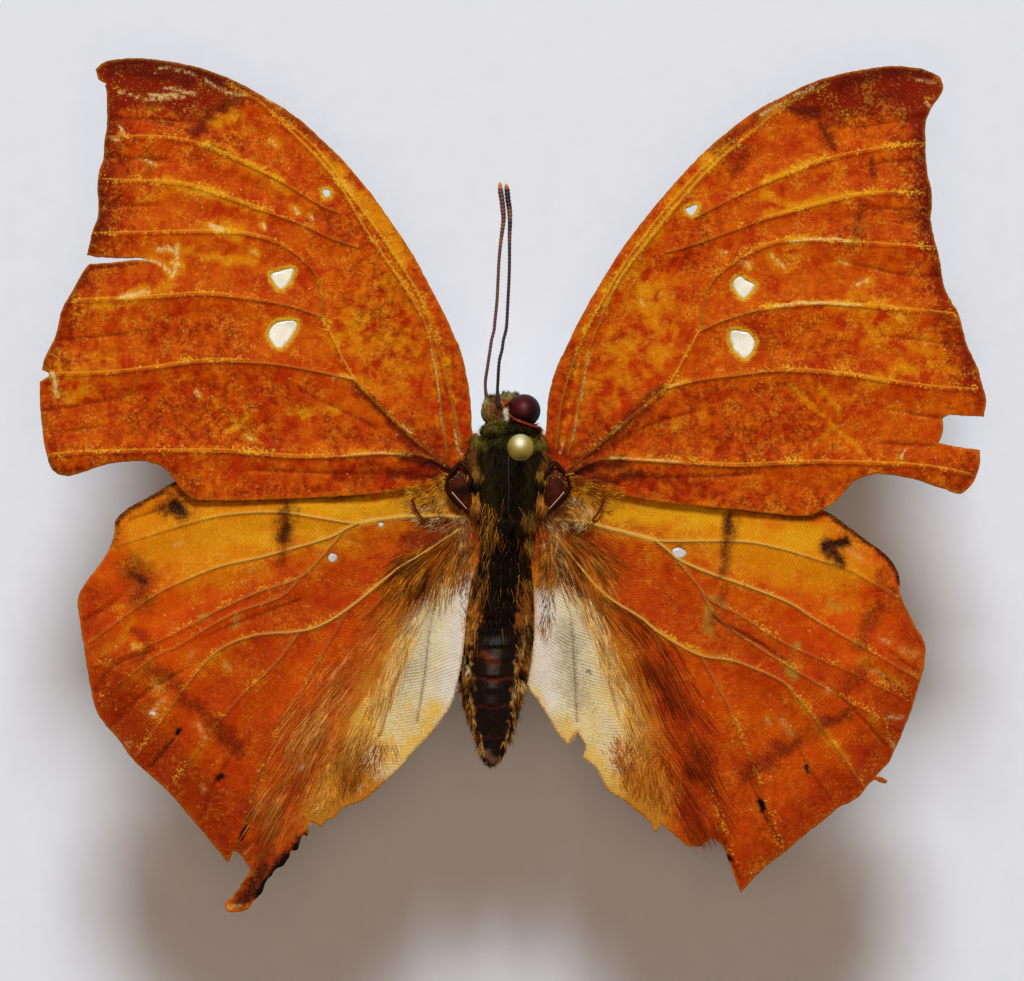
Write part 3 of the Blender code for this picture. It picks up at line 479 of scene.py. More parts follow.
                 562,350, 552,390, 548,430), (0.6,9, 574,345, 562,400, 556,440), (0.8,20, 548,450, 580,448,
                 610,430), (0.8,14, 548,482, 590,482, 640,480, 700,484), (0.3,14, 717,116, 657,176, 607,246,
                 572,330), (0.2,40, 637,260, 597,350)),
            "darkMarkAndShade": ((0.85,9, 930,74, 890,72, 860,78, 838,86), (0.55,7, 830,84, 790,98, 750,122, 715,148),
                (0.9,7.5, 790,107, 802,112, 814,112), (0.9,7, 824,128, 829,136, 831,144), (0.8,4, 872,160,
                 873,178), (0.5,5, 862,206, 858,222), (0.45,8, 860,232, 850,246), (0.6,9, 925,120, 923,160),
                (0.6,9, 930,190, 930,226), (0.55,8, 938,250, 944,290), (0.45,7, 962,336, 976,368), (0.5,5,
                 # strokes near the root (x under 665) are painted shade under the veins; the others are the
                 # wing's dark marks
                 974,470, 956,488), (0.6,4, 610,440, 585,462, 556,482), (0.5,4, 600,464, 570,480), (0.5,8,
                 735,168, 738,152), (0.35,6, 900,95, 870,100), (0.8,6, 661,387, 623,424, 599,446, 572,462),
                (1,8, 562,474, 590,468, 620,463), (0.85,6, 560,482, 600,480, 640,476), (0.6,4, 650,410,
                 626,432, 600,452)),
            "yellow": ((0.8,8, 720,150, 690,184, 660,222, 630,262, 606,305), (0.6,3.5, 594,306, 578,350,
                 570,400, 562,440), (0.9,5, 762,182, 790,170, 825,157), (0.9,5, 765,216, 800,207, 850,194,
                 880,192), (0.8,3.4, 790,240, 820,238, 852,240), (0.8,3.4, 770,308, 820,303, 870,306),
                (0.5,28, 640,290, 655,320, 640,350), (0.45,22, 620,350, 612,390), (0.6,8, 775,262, 790,256),
                (0.5,8, 850,110, 830,120), (0.5,14, 900,320, 860,296), (0.5,12, 860,328, 900,336, 930,350),
                (0.5,10, 870,380, 910,372, 950,372), (0.7,2.6, 790,385, 815,410, 850,440, 870,460), (0.6,2.6,
                 860,385, 840,420, 800,455), (0.5,3, 820,385, 845,420), (0.5,5, 700,418, 640,430), (0.5,6,
                 765,195, 785,206)),
            # painted shade under the root's veins
            "blackAndShade": ((0.6,4, 566,474, 592,468),),
            # the first six strokes, on the veins near the root, are painted highlights; the rest are worn,
            # pale scales
            "wornAndGlint": ((0.55,0.9, 590,352, 584,378, 581,402), (0.5,0.9, 577,415, 573,440), (0.45,0.8, 690,382,
                 676,384, 668,388), (0.5,0.9, 610,458, 640,459, 680,462), (0.5,1.2, 564,440, 560,452),
                (0.4,0.8, 620,426, 612,434), (0.8,1.4, 856,285, 866,281), (0.5,1.6, 785,102, 772,108,
                 760,116), (0.6,1.6, 795,96, 808,90, 816,86), (0.5,1.4, 916,80, 934,84), (0.5,1.4, 926,100,
                 930,108), (0.8,1.3, 790,242, 815,239.5, 850,241), (0.8,1.3, 775,306, 810,303, 860,305),
                (0.6,1.8, 750,268, 744,262), (0.6,1.6, 640,300, 642,304), (0.7,2.2, 948,417, 944,424),
                (0.6,1.2, 770,255, 785,268), (0.5,1.2, 905,450, 900,458), (0.5,1.2, 840,262, 846,264),
                (0.6,1.4, 722,255, 726,252))},
    },
    "hindwing_left": {
        "kind": "hind", "rowRoot": (370, 470), "seed": 37,
        "outline": ((486,468, 450,470, 410,473, 360,473, 300,470, 240,468, 200,472, 178,480, 163,488, 150,496,
             130,507, 120,515, 115.5,521, 115,530, 113,540, 108,552, 102,562, 94,572, 86,583, 80,593, 78,604,
             80,617, 82,632, 85,650, 88,670, 92,692, 97,711, 106,725, 118,738, 132,758, 150,775, 165,788,
             180,805, 195,823, 207,837, 219,852, 226,861), (226,861, 229,862, 233,852), (233,852, 238,853,
             245,861, 250,870, 246,877), (246,877, 241,884, 240,888, 234,893, 232,898, 226,901, 225,908,
             229,912, 240,912, 248,909, 252,903, 258,897, 262,893, 264,886, 267,880, 271,876, 274,871,
             278,868, 283,866, 286,861, 289,857, 291,851, 297,850, 299,844, 301,838, 304,835, 307,837,
             308,832, 309,822), (309,822, 315,824, 321,827, 327,820, 334,818, 340,810, 347,806, 355,804,
             365,799, 375,791, 388,779, 402,766, 415,750, 428,737, 440,722, 452,702, 459,675, 464,645,
             467,610, 472,580, 482,555), (482,555, 486,468)),
        "windows": ((328,558, 330,554, 335,554, 337,558, 334,562, 330,562), (378,524, 381,522.5, 384,524,
             381,528)),
        "veins": ((1.2, 462,517, 440,516, 415,516, 385,518.5, 358,523), (1, 358,523, 345,522, 315,517,
             280,512, 240,513, 200,520, 114,546), (1, 358,523, 345,529, 330,537, 300,546, 260,557, 220,566,
             180,582, 150,598, 86,645), (0.6, 345,529, 322,556, 300,577, 260,591, 220,609, 165,638, 89,668),
            (0.5, 300,577, 282,596, 240,611, 210,626, 180,645, 150,660, 97,703), (1.1, 458,530, 420,555,
             400,567, 380,583, 350,607, 325,623, 300,631, 255,635, 222,648, 200,668, 170,708, 135,757), (0.45,
             300,631, 276,663, 243,694, 215,727, 190,762, 167,790), (0.35, 350,607, 318,662, 298,700, 270,748,
             250,800, 241,845)),
        "pleats": ((84,620, 110,605, 140,580), (130,520, 165,508, 200,498), (95,690, 125,660, 200,640),
            (110,728, 150,690, 240,640), (150,768, 178,732), (200,820, 219,777, 250,730), (417,722, 424,680,
             430,630, 441,580), (380,735, 397,680, 420,620), (235,850, 245,830, 262,790), (300,600, 230,626,
             180,650)),
        "areas": {
            "yellow": (26, 120,520, 165,492, 300,484, 440,494, 462,512, 400,530, 340,548, 270,560, 200,585,
                       150,572, 120,548),
            "cream": (13, 438,585, 472,590, 474,660, 462,706, 445,730, 408,772, 382,775, 360,752, 372,712,
                      396,668, 414,620),
            "lobe": (14, 392,765, 372,745, 345,745, 322,770, 304,812, 306,832, 322,832, 352,812, 384,790,
                     410,770)},
        "marks": {
            "warm": ((0.45,60, 240,690, 270,640, 330,590, 400,550), (0.85,46, 110,690, 150,750, 200,800,
                 226,850), (0.5,60, 250,740, 280,800), (0.5,26, 92,600, 100,660, 130,710), (0.6,30, 300,760,
                 330,700, 370,650, 410,600), (0.8,24, 240,800, 262,840, 250,890), (0.5,20, 84,600, 86,650,
                 96,700), (0.35,24, 250,600, 300,590), (0.8,30, 478,540, 440,540, 410,556)),
            "darkMarkAndShade": ((0.9,5.5, 288,500, 287,520), (1,10, 286,516, 284,540), (0.6,5, 283,550, 281,566),
                (0.95,14, 170,505, 180,509), (0.7,16, 132,568, 138,580, 142,594), (0.95,8, 134,576, 142,582),
                (0.4,7, 140,560, 137,570), (0.5,5, 135,630, 147,640, 147,652, 136,660), (0.65,11, 150,668,
                 165,676, 177,684), (0.65,11, 183,698, 194,706, 204,714), (0.7,10, 210,718, 222,730, 238,748),
                # the stroke along rows 494 to 499 is painted shadow along the forewing's hind edge
                (0.5,5, 114,546, 117,530), (0.75,4.5, 180,494, 230,499, 290,498, 360,494), (0.7,9, 246,884,
                 236,900), (0.6,4, 240,850, 262,838), (0.6,9, 445,522, 425,530, 408,540), (0.5,9, 462,540,
                 440,550), (0.5,12, 440,570, 424,596, 404,622), (0.55,12, 440,520, 424,532, 446,545)),
            "blackAndShade": ((0.5,3.5, 286,526, 284,538), (0.85,6, 174,506, 184,513), (0.5,3, 140,580, 145,582),
                (1,2.4, 179,729, 177,734), (0.55,1.2, 175,738, 150,768), (1,3.2, 217,778, 222,776), (1,2.4,
                 246,828, 242,838), (0.8,3.2, 116,524, 120,516, 150,497, 178,482), (1,6.5, 307,836, 292,852,
                 274,872, 258,895), (0.75,5.5, 262,868, 250,892, 240,905)),
            "gold": ((0.9,16, 300,506, 360,508, 430,503), (0.5,14, 210,530, 270,535, 330,532)),
            "wornAndGlint": ((0.6,2.4, 228,908, 240,906), (0.7,2.6, 134,646, 139,648), (0.35,3.5, 156,686, 162,690),
                (0.4,3.5, 165,700, 150,712), (0.35,3, 130,746, 127,742), (0.3,3.5, 198,725, 205,740), (0.45,3,
                 225,665, 228,668), (0.3,3, 192,653, 190,656), (0.3,3, 205,790, 203,786), (0.35,3, 175,545,
                 182,542)),
            "yellow": ((0.5,9, 150,512, 170,548), (0.5,5, 105,652, 122,640, 132,618), (0.5,5, 100,710,
                 120,690, 150,660), (0.5,4, 150,598, 110,612, 90,625), (0.45,6, 240,640, 200,668), (0.4,5,
                 190,762, 215,727)),
            "green": ((0.8,3.6, 237,618, 237,626), (0.6,4, 203,618, 206,617), (0.5,3, 256,568, 250,572)),
            "dust": ((0.8,1.5, 152,712, 154,713), (0.6,1.8, 300,768, 303,766)),
            "grey": ((0.35,12, 436,600, 420,650, 404,690),),
            "white": ((0.9,18, 466,596, 458,650, 446,700),),
            "straw": ((0.95,11, 436,704, 424,730, 404,756), (0.8,16, 368,720, 382,740, 392,760), (0.55,12,
                 408,640, 388,680, 372,716), (0.45,20, 400,710, 408,740))},
    },
    "hindwing_right": {
        "kind": "hind", "rowRoot": (646, 470), "seed": 53,
        "outline": ((530,470, 570,472, 610,476, 660,481, 720,485, 780,494, 825,511, 838,519, 850,528, 873,545,
             884,553, 892,562, 898,573, 899.5,582, 899,592, 903,602, 908,612, 914,624, 923,640, 925,652,
             924,660, 923,668, 919,682, 915,696, 910,712, 905,725, 898,742, 889,762), (889,762, 881,770,
             876,776), (876,776, 881,777, 887,780), (887,780, 886,783, 880,782), (880,782, 873,780, 866,787,
             860,795, 850,802, 838,808, 820,823, 800,839, 785,852, 768,865, 750,883, 741,893.5), (741,893.5,
             737,884, 733,872, 728,860, 724,848, 713,838, 706,843, 701,847, 694,846, 688,847, 678,838,
             668,830, 660,824), (660,824, 657,832, 653,829), (653,829, 650,822, 643,816, 634,809, 626,802,
             616,796, 607,790, 603,781, 597,770, 590,763, 583,758), (583,758, 584,752, 586,747, 582,739,
             577,732), (577,732, 573,739, 568,747), (568,747, 562,739, 555,730, 546,714, 537,700, 531,693,
             527,685), (527,685, 531,665, 534,635, 534,605, 532,575, 528,550), (528,550, 530,470)),
        "windows": ((672,551, 676,547.5, 681,548, 686,552, 686,555, 681,558, 676,557),),
        "veins": ((1.2, 554,519, 585,522, 600,526, 640,536, 655,540), (1, 655,540, 670,541, 740,541, 780,548,
             820,560, 850,570, 898,598), (1.1, 655,540, 668,550, 680,560, 710,573, 750,587, 790,603, 820,622,
             921,680), (0.5, 668,550, 692,578, 712,601, 740,615, 783,642, 850,672, 915,704), (0.55, 700,588,
             715,615, 742,636, 790,667, 850,702, 903,730), (1, 556,536, 600,590, 640,617, 660,633, 700,655,
             735,661, 780,680, 800,700, 835,745, 862,784), (0.45, 700,655, 712,676, 728,705, 745,745, 765,800,
             781,845), (0.3, 650,626, 676,680, 696,740, 715,800, 735,866)),
        "pleats": ((715,618, 735,630, 760,643, 790,663), (577,722, 575,680, 571,620, 562,580), (918,672,
             895,656, 880,642), (912,700, 885,678, 850,655), (893,560, 870,545, 840,540), (885,745, 850,706,
             800,660), (830,800, 810,770, 780,720), (780,845, 762,808, 735,750), (600,640, 612,690, 625,740),
            (740,880, 730,858, 715,815)),
        "areas": {
            "yellow": (26, 556,508, 600,498, 720,498, 820,516, 868,560, 850,590, 790,590, 730,572, 670,548,
                       600,530),
            "cream": (13, 552,590, 572,585, 590,625, 608,665, 630,712, 636,752, 610,782, 588,762, 566,748,
                      540,715, 524,690, 530,640),
            "lobe": (14, 600,740, 625,735, 652,760, 672,800, 668,836, 650,835, 625,808, 600,785, 580,762)},
        "marks": {
            "warm": ((0.45,60, 780,690, 730,640, 660,590, 600,545), (0.75,46, 910,690, 870,770, 800,830,
                 750,880), (0.5,60, 740,760, 720,800), (0.8,30, 538,540, 576,540, 606,556), (0.65,36, 705,780,
                 680,710, 640,650, 596,590), (0.7,22, 740,880, 716,836), (0.5,22, 900,600, 918,650), (0.4,24,
                 800,660, 850,690)),
            "gold": ((0.9,16, 580,506, 650,512, 715,512), (0.5,14, 745,530, 800,538, 815,536)),
            "darkMarkAndShade": ((0.95,8, 731,514, 729,532), (0.85,6.5, 727,540, 725,556), (0.75,5, 725,560, 724,575),
                (0.4,6, 724,588, 720,604), (0.95,8, 828,546, 846,541), (0.95,7.5, 830,548, 838,562), (0.6,10,
                 878,608, 868,628, 862,642), (0.5,10, 862,668, 852,684), (0.8,9, 845,714, 825,722), (0.4,12,
                 820,728, 805,736), (0.75,9, 796,742, 780,751), (0.6,10, 770,758, 748,774), (0.45,8, 882,570,
                 # the stroke from 700,505 to 824,512 is painted shadow along the forewing's hind edge
                 878,590), (0.5,3, 900,598, 912,622, 924,648), (0.5,5, 884,586, 892,592), (0.75,4.5, 700,505,
                 760,510, 800,518, 824,512), (0.75,2, 715,618, 735,630, 760,643, 790,663), (0.6,3.5, 712,614,
                 712,624), (0.6,9, 556,524, 585,534), (0.5,9, 548,545, 570,556), (0.6,14, 684,800, 694,836),
                (0.5,12, 560,566, 580,592, 600,622), (0.55,12, 560,520, 590,530, 570,545)),
            "blackAndShade": ((0.45,3.6, 731,518, 730,530), (0.85,5, 828,547, 845,542), (0.7,4, 834,552, 838,560),
                (1,2.6, 807,766, 808,771), (1,3.2, 760,802, 763,810), (1,2.2, 728,856, 730,860), (0.7,1.2,
                 763,812, 768,824), (0.85,3.4, 827,513, 850,528, 873,545, 892,563, 898,582), (0.8,2, 588,671,
                 590,672)),
            "green": ((0.9,5.5, 789,670, 794,675), (0.8,4, 796,645, 794,649), (0.7,4.5, 708,608, 710,632),
                (0.6,4, 712,596, 726,606), (0.5,6, 832,604, 838,608)),
            "wornAndGlint": ((0.45,3.5, 827,690, 829,692), (0.35,3.5, 766,720, 770,722), (0.4,3, 888,718, 902,716),
                (0.4,3.4, 888,738, 895,748), (0.35,3.4, 882,638, 888,642), (0.3,3.5, 900,650, 915,655),
                (0.6,1.2, 870,670, 878,671, 884,676), (0.3,3.4, 790,735, 782,720), (0.35,4, 850,550, 862,560),
                (0.5,2, 800,555, 803,556), (0.5,1.2, 718,656, 732,661)),
            "yellow": ((0.6,4, 680,560, 720,577, 750,590, 797,607), (0.6,4, 640,617, 672,642, 720,658),
                (0.5,6, 860,660, 905,690), (0.5,5, 800,700, 835,745, 860,775), (0.45,6, 870,720, 880,745),
                (0.4,8, 830,610, 860,600)),
            "grey": ((0.7,14, 566,630, 578,700),),
            "white": ((0.9,15, 544,600, 544,650, 550,700),),
            "straw": ((0.85,14, 566,730, 590,756, 614,784), (0.6,10, 604,690, 622,730, 632,760), (0.4,18,
                 588,700, 596,740), (0.7,6, 532,690, 546,714))},
    },
}
# how much of a stroke's radius is full
softness = {"warm": 0.0, "yellow": 0.1, "gold": 0.1, "cream": 0.1, "white": 0.0, "straw": 0.0, "lobe": 0.1,
            "darkMarkAndShade": 0.1, "blackAndShade": 0.45, "wornAndGlint": 0.3, "green": 0.1, "dust": 0.4, "grey": 0.1}


def wingHeight(kind, places):
    lay = wingLay
    middle, seam = onGrid((drawing["bodyLine"], lay["overlapRow"]))[0]
    out = np.maximum(0, np.abs(places[:, 0] - middle) - lay["riseFrom"])
    behind = (places[:, 1] - seam) * (1 if kind == "fore" else -1)
    arch = lay[kind + "Arch"] * np.sin(math.pi * np.clip(behind / lay[kind + "Chord"], 0, 1))
    drop = lay["hindDrop"] if kind == "hind" else 0
    return lay["foreHeight"] - drop + lay[kind + "Sheet"] + lay["rise"] * out + arch


def ragged(ring, amount, seed):
    # small uneven steps along the margin
    ahead, behind = np.roll(ring, -1, axis=0), np.roll(ring, 1, axis=0)
    along = ahead - behind
    length = np.maximum(np.linalg.norm(along, axis=1), 1e-6)[:, None]
    out = np.column_stack((along[:, 1], -along[:, 0])) / length
    push = cloud(ring, 0.32, seed) + 0.6 * cloud(ring, 0.13, seed + 1) - 0.8
    return ring + out * (push * amount)[:, None]


def netInside(ring, holes, rows, spacing):
    # places and triangles that fill a ring around its holes, with rows of places along given lines
    low, high = ring.min(axis=0), ring.max(axis=0)
    rowStep = spacing * math.sqrt(3) / 2
    net = []
    for k, y in enumerate(np.arange(low[1], high[1], rowStep)):
        across = np.arange(low[0] + (spacing / 2 if k % 2 else 0), high[0], spacing)
        net.append(np.column_stack((across, np.full(len(across), y))))
    net = np.vstack(net)
    if len(rows):
        rows = np.vstack(rows)
        cell = 0.62 * spacing
        taken = np.unique(np.floor(rows / cell).astype(int) @ (1, 100000))
        net = net[~np.isin(np.floor(net / cell).astype(int) @ (1, 100000), taken)]
        net = np.vstack((rows, net))
    net = net[insideRing(net, ring)]
    for hole in holes:
        net = net[~insideRing(net, hole)]
    loops = [ring] + list(holes)
    net = net[reachTo(net, np.vstack(loops)) > 0.55 * spacing]
    points = np.vstack(loops + [net])
    faces, start = [], 0
    for loop in loops:
        faces.append(list(range(start, start + len(loop))))
        start += len(loop)
    flat = delaunay_2d_cdt([Vector(p) for p in points], [], faces, 1, 0.004)
    places = np.array([tuple(v) for v in flat[0]])
    triangles = np.array(flat[2])
    middle = places[triangles].mean(axis=1)
    keep = insideRing(middle, ring)
    for hole in holes:
        keep &= ~insideRing(middle, hole)
    triangles = triangles[keep]
    a, b, c = (places[triangles[:, k]] for k in range(3))
    upward = (b[:, 0] - a[:, 0]) * (c[:, 1] - a[:, 1]) - (b[:, 1] - a[:, 1]) * (c[:, 0] - a[:, 0]) > 0
    triangles[~upward] = triangles[~upward][:, ::-1]
    used, fresh = np.unique(triangles, return_inverse=True)
    return places[used], fresh.reshape(-1, 3)


def sheetMesh(name, ring, holes, rows, spacing, lift, thickness):
    # a thin closed sheet inside a ring; lift gives its middle height and its half thickness at each place
    places, triangles = netInside(ring, holes, rows, spacing)
    height, half = lift(places, thickness / 2)
    count = len(places)
    edges = np.vstack([triangles[:, (0, 1)], triangles[:, (1, 2)], triangles[:, (2, 0)]])
    keys = {tuple(e) for e in edges}
    border = np.array([e for e in edges if (e[1], e[0]) not in keys])
    solid = np.vstack((np.column_stack((places, height + half)), np.column_stack((places, height - half))))
    walls = np.vstack((np.column_stack((border[:, 1], border[:, 0], border[:, 0] + count)),
                       np.column_stack((border[:, 1], border[:, 0] + count, border[:, 1] + count))))
    mesh = bpy.data.meshes.new(name)
    mesh.from_pydata(solid.tolist(), [], np.vstack((triangles, triangles[:, ::-1] + count, walls)).tolist())
    mesh.shade_smooth()
    return newObject(name, mesh), places, len(triangles)


def makeWing(name, wing):
    lay = wingLay
    ring = ragged(ringOf(wing["outline"], lay["edgeSpacing"]), lay["ragged"], wing["seed"])
    holes = [ragged(closedRing(window, lay["edgeOfWindow"]), lay["raggedWindow"], wing["seed"] + 9)
             for window in wing["windows"]]
    veins = [(size, smoothRun(onGrid(line), 0.14)) for size, *line in wing["veins"]]
    pleats = [smoothRun(onGrid(line), 0.16) for line in wing["pleats"]]
    rows = []
    for line in [v for s, v in veins] + pleats:
        along = np.gradient(line, axis=0)
        out = np.column_stack((-along[:, 1], along[:, 0])) / np.linalg.norm(along, axis=1)[:, None]
        rows.extend(line + out * far for far in (-0.20, -0.09, 0.0, 0.09, 0.20))
    coarse = [(size, line[::3]) for size, line in veins]

    def lift(places, half):
        ridge, near = np.zeros(len(places)), np.full(len(places), 1e9)
        for size, line in coarse:
            far, share = distanceTo(places, line, 1.8)
            fade = 1 - 0.65 * softStep(share, 0.45, 1.0)
            reach = lay["veinReach"] * (0.75 + 0.25 * size) * (1.0 if wing["kind"] == "fore" else 0.75)
            ridge = np.maximum(ridge, size * fade * np.exp(-(far / reach * 1.5) ** 2))
            near = np.minimum(near, far)
        dip = np.zeros(len(places))
        for line in pleats:
            far, share = distanceTo(places, line[::2], 0.6)
            crease = (1 - softStep(share, 0.5, 1.0)) * np.exp(-(far / lay["pleatReach"] * 1.5) ** 2)
            dip = np.maximum(dip, crease)
        wave = 0.22 * (cloud(places, 4.5, wing["seed"] + 5) - 0.5)
        wave += 0.07 * (cloud(places, 1.3, wing["seed"] + 6) - 0.5)
        trough = lay["trough"] * softStep(near, 0.1, 1.6)
        middle = (wingHeight(wing["kind"], places) + wave - trough - lay["pleatDepth"] * dip
                  + 0.75 * lay["veinRise"] * ridge)
        return middle, half + 0.25 * lay["veinRise"] * ridge

    surfaces[name] = lift
    piece, places, topFaces = sheetMesh(name + "_sheet", ring, holes, rows, lay["spacing"], lift,
                                        lay["thickness"])
    masks = {tone: np.zeros(len(places)) for tone in softness}
    wander = np.column_stack((cloud(places, 0.6, 3) + 0.5 * cloud(places, 0.25, 5),
                              cloud(places, 0.6, 4) + 0.5 * cloud(places, 0.25, 6))) - 0.75

    def brush(tone, strength, radius, line):
        far = distanceTo(places + wander * min(radius, 0.9) * 0.9, line, 1.6 * radius)[0]
        mask = strength * (1 - softStep(far, softness[tone] * radius, 1.5 * radius))
        masks[tone] = np.maximum(masks[tone], mask)

    for tone, (edge, *area) in wing["areas"].items():
        loop = closedRing(area, 0.3)
        edge = edge * gridStep
        far = distanceTo(places + wander * edge * 0.8, looped(loop), 4 * edge)[0]
        far = np.where(insideRing(places, loop), far, -far) / edge
        masks[tone] = np.maximum(masks[tone], softStep(far, -1.0, 1.0))
        if tone == "cream":
            masks["lobe"] = np.maximum(masks["lobe"], 0.9 * softStep(far, -3.2, -0.8))
    for tone, strokes in wing["marks"].items():
        for strength, radius, *line in strokes:
            line = onGrid(line)
            if len(line) > 2:
                line = smoothRun(line, 0.5)
            brush(tone, strength, radius * gridStep * (0.8 if tone == "wornAndGlint" else 1.0), line)
            # worn strokes, and the painted vein highlights near the roots, get a soft yellow halo
            if tone == "wornAndGlint":
                brush("yellow", 0.8 * strength, max(2.6 * radius, 5) * gridStep, line)
    vein, pale, pleatShade, veinShadow, veinHighlight = (np.zeros(len(places)) for k in range(5))
    # along each vein: its crest and pale colour, a painted highlight band on its lit upper side and a painted
    # shadow line along its lower side
    above, below = np.array((0.0, 0.17)), np.array((0.0, -0.10))
    for size, line in coarse:
        far, share = distanceTo(places, line, 0.5)
        crest = np.exp(-(far / 0.12) ** 2)
        vein = np.maximum(vein, crest)
        stem = 0.7 if size > 1.15 else 0.0
        pale = np.maximum(pale, np.exp(-(far / (0.08 + 0.08 * stem)) ** 2) * size ** 2
                          * (1 - (0.85 - stem) * softStep(share, 0.3, 0.85)))
        far = distanceTo(places - below, line, 0.5)[0]
        veinShadow = np.maximum(veinShadow, np.exp(-(far / 0.07) ** 2) * (0.35 + 0.65 * (1 - share)))
        far = distanceTo(places - above, line, 0.6)[0]
        veinHighlight = np.maximum(veinHighlight, np.exp(-(far / 0.17) ** 2) * softStep(share, 0.15, 0.4)
                          * (1.0 if wing["kind"] == "fore" else 0.3))
    # painted shade along the pleats' creases
    for line in pleats:
        far, share = distanceTo(places, line[::2], 0.3)
        pleatShade = np.maximum(pleatShade, (1 - softStep(share, 0.45, 1.0)) * np.exp(-(far / 0.075) ** 2))
    rim = 1 - softStep(distanceTo(places, looped(ring)[::2], 0.3)[0], 0.02, 0.16)
    glow = np.zeros(len(places))
    for hole in holes:
        far = distanceTo(places, looped(hole), 0.4)[0]
        glow = np.maximum(glow, 1 - softStep(far, 0.05, 0.38))
    for title, values in dict(masks, vein=vein, pale=pale, pleatShade=pleatShade, rim=rim, glow=glow, veinShadow=veinShadow,
                              veinHighlight=veinHighlight).items():
        paint(piece, title, np.concatenate((values, values)))
    piece.data.materials.append(wingMaterial(name, wing))
    piece.data.materials.append(undersideMaterial)
    under = np.zeros(len(piece.data.polygons), np.int32)
    under[topFaces:2 * topFaces] = 1
    piece.data.polygons.foreach_set("material_index", under)
    settle(piece, [name])
    for number, hole in enumerate(holes[:2]):
        grown = hole + (hole - hole.mean(axis=0)) * 0.03
        film = sheetMesh(f"{name}_window_{number + 1}", grown, [], [], lay["spacingOfWindow"],
                         lambda p, h: (lift(p, h)[0] + 0.01, h), lay["filmThickness"])[0]
        film.data.materials.append(filmMaterials[wing["kind"]])
        settle(film)
    print(name, "sheet:", len(piece.data.polygons), "triangles")


# the look of the wings: screen colours, and shares of each layer
wingLook = {
    "fore": {"light": (209, 94, 4), "deep": (180, 46, 2), "rows": 0.06, "blotch": 1.3, "fleckShare": 0.34,
             "paleShare": 0.28, "mottleShare": 0.40, "wornAndGlintShare": 0.75, "glowShare": 0.9, "yellowRough": 1.2,
             "warmRough": 0.8, "calm": (3.0, 15.0, 0.25, 1.0)},
    "hind": {"light": (214, 86, 2), "deep": (191, 57, 2), "rows": 0.30, "blotch": 2.2, "fleckShare": 0.20,
             "paleShare": 0.7, "mottleShare": 0.07, "wornAndGlintShare": 0.4, "glowShare": 0.1, "yellowRough": 0.5,
             "warmRough": 0.35, "calm": (0.0, 1.0, 1.0, 1.0), "pale": (230, 186, 84)},
    "mottle": (132, 30, 2), "fleck": (230, 164, 44), "warm": (116, 18, 3), "yellow": (216, 134, 6),
    "gold": (226, 168, 18), "cream": (222, 204, 158), "lobe": (186, 118, 30), "white": (222, 210, 192),
    # the dark mark and black colours also paint shade at the forewings' roots and along the forewings' hind
    # edges
    "straw": (224, 178, 74), "darkMarkAndShade": (76, 14, 6), "blackAndShade": (24, 12, 10), "wornAndGlint": (234, 206, 130),
    "green": (158, 142, 50), "dust": (238, 232, 214), "pale": (214, 150, 50), "pleatShade": (92, 22, 4),
    # the vein shadow and vein highlight colours paint shade and highlight beside the veins
    "rim": (190, 120, 24), "glow": (216, 170, 44), "veinShadow": (84, 22, 4), "veinHighlight": (222, 164, 36),
    "grey": (150, 136, 118), "gapShade": (150, 128, 108), "grainShade": (150, 120, 90),
    "dustGrain": (236, 206, 140), "sootGrain": (40, 16, 10),
}


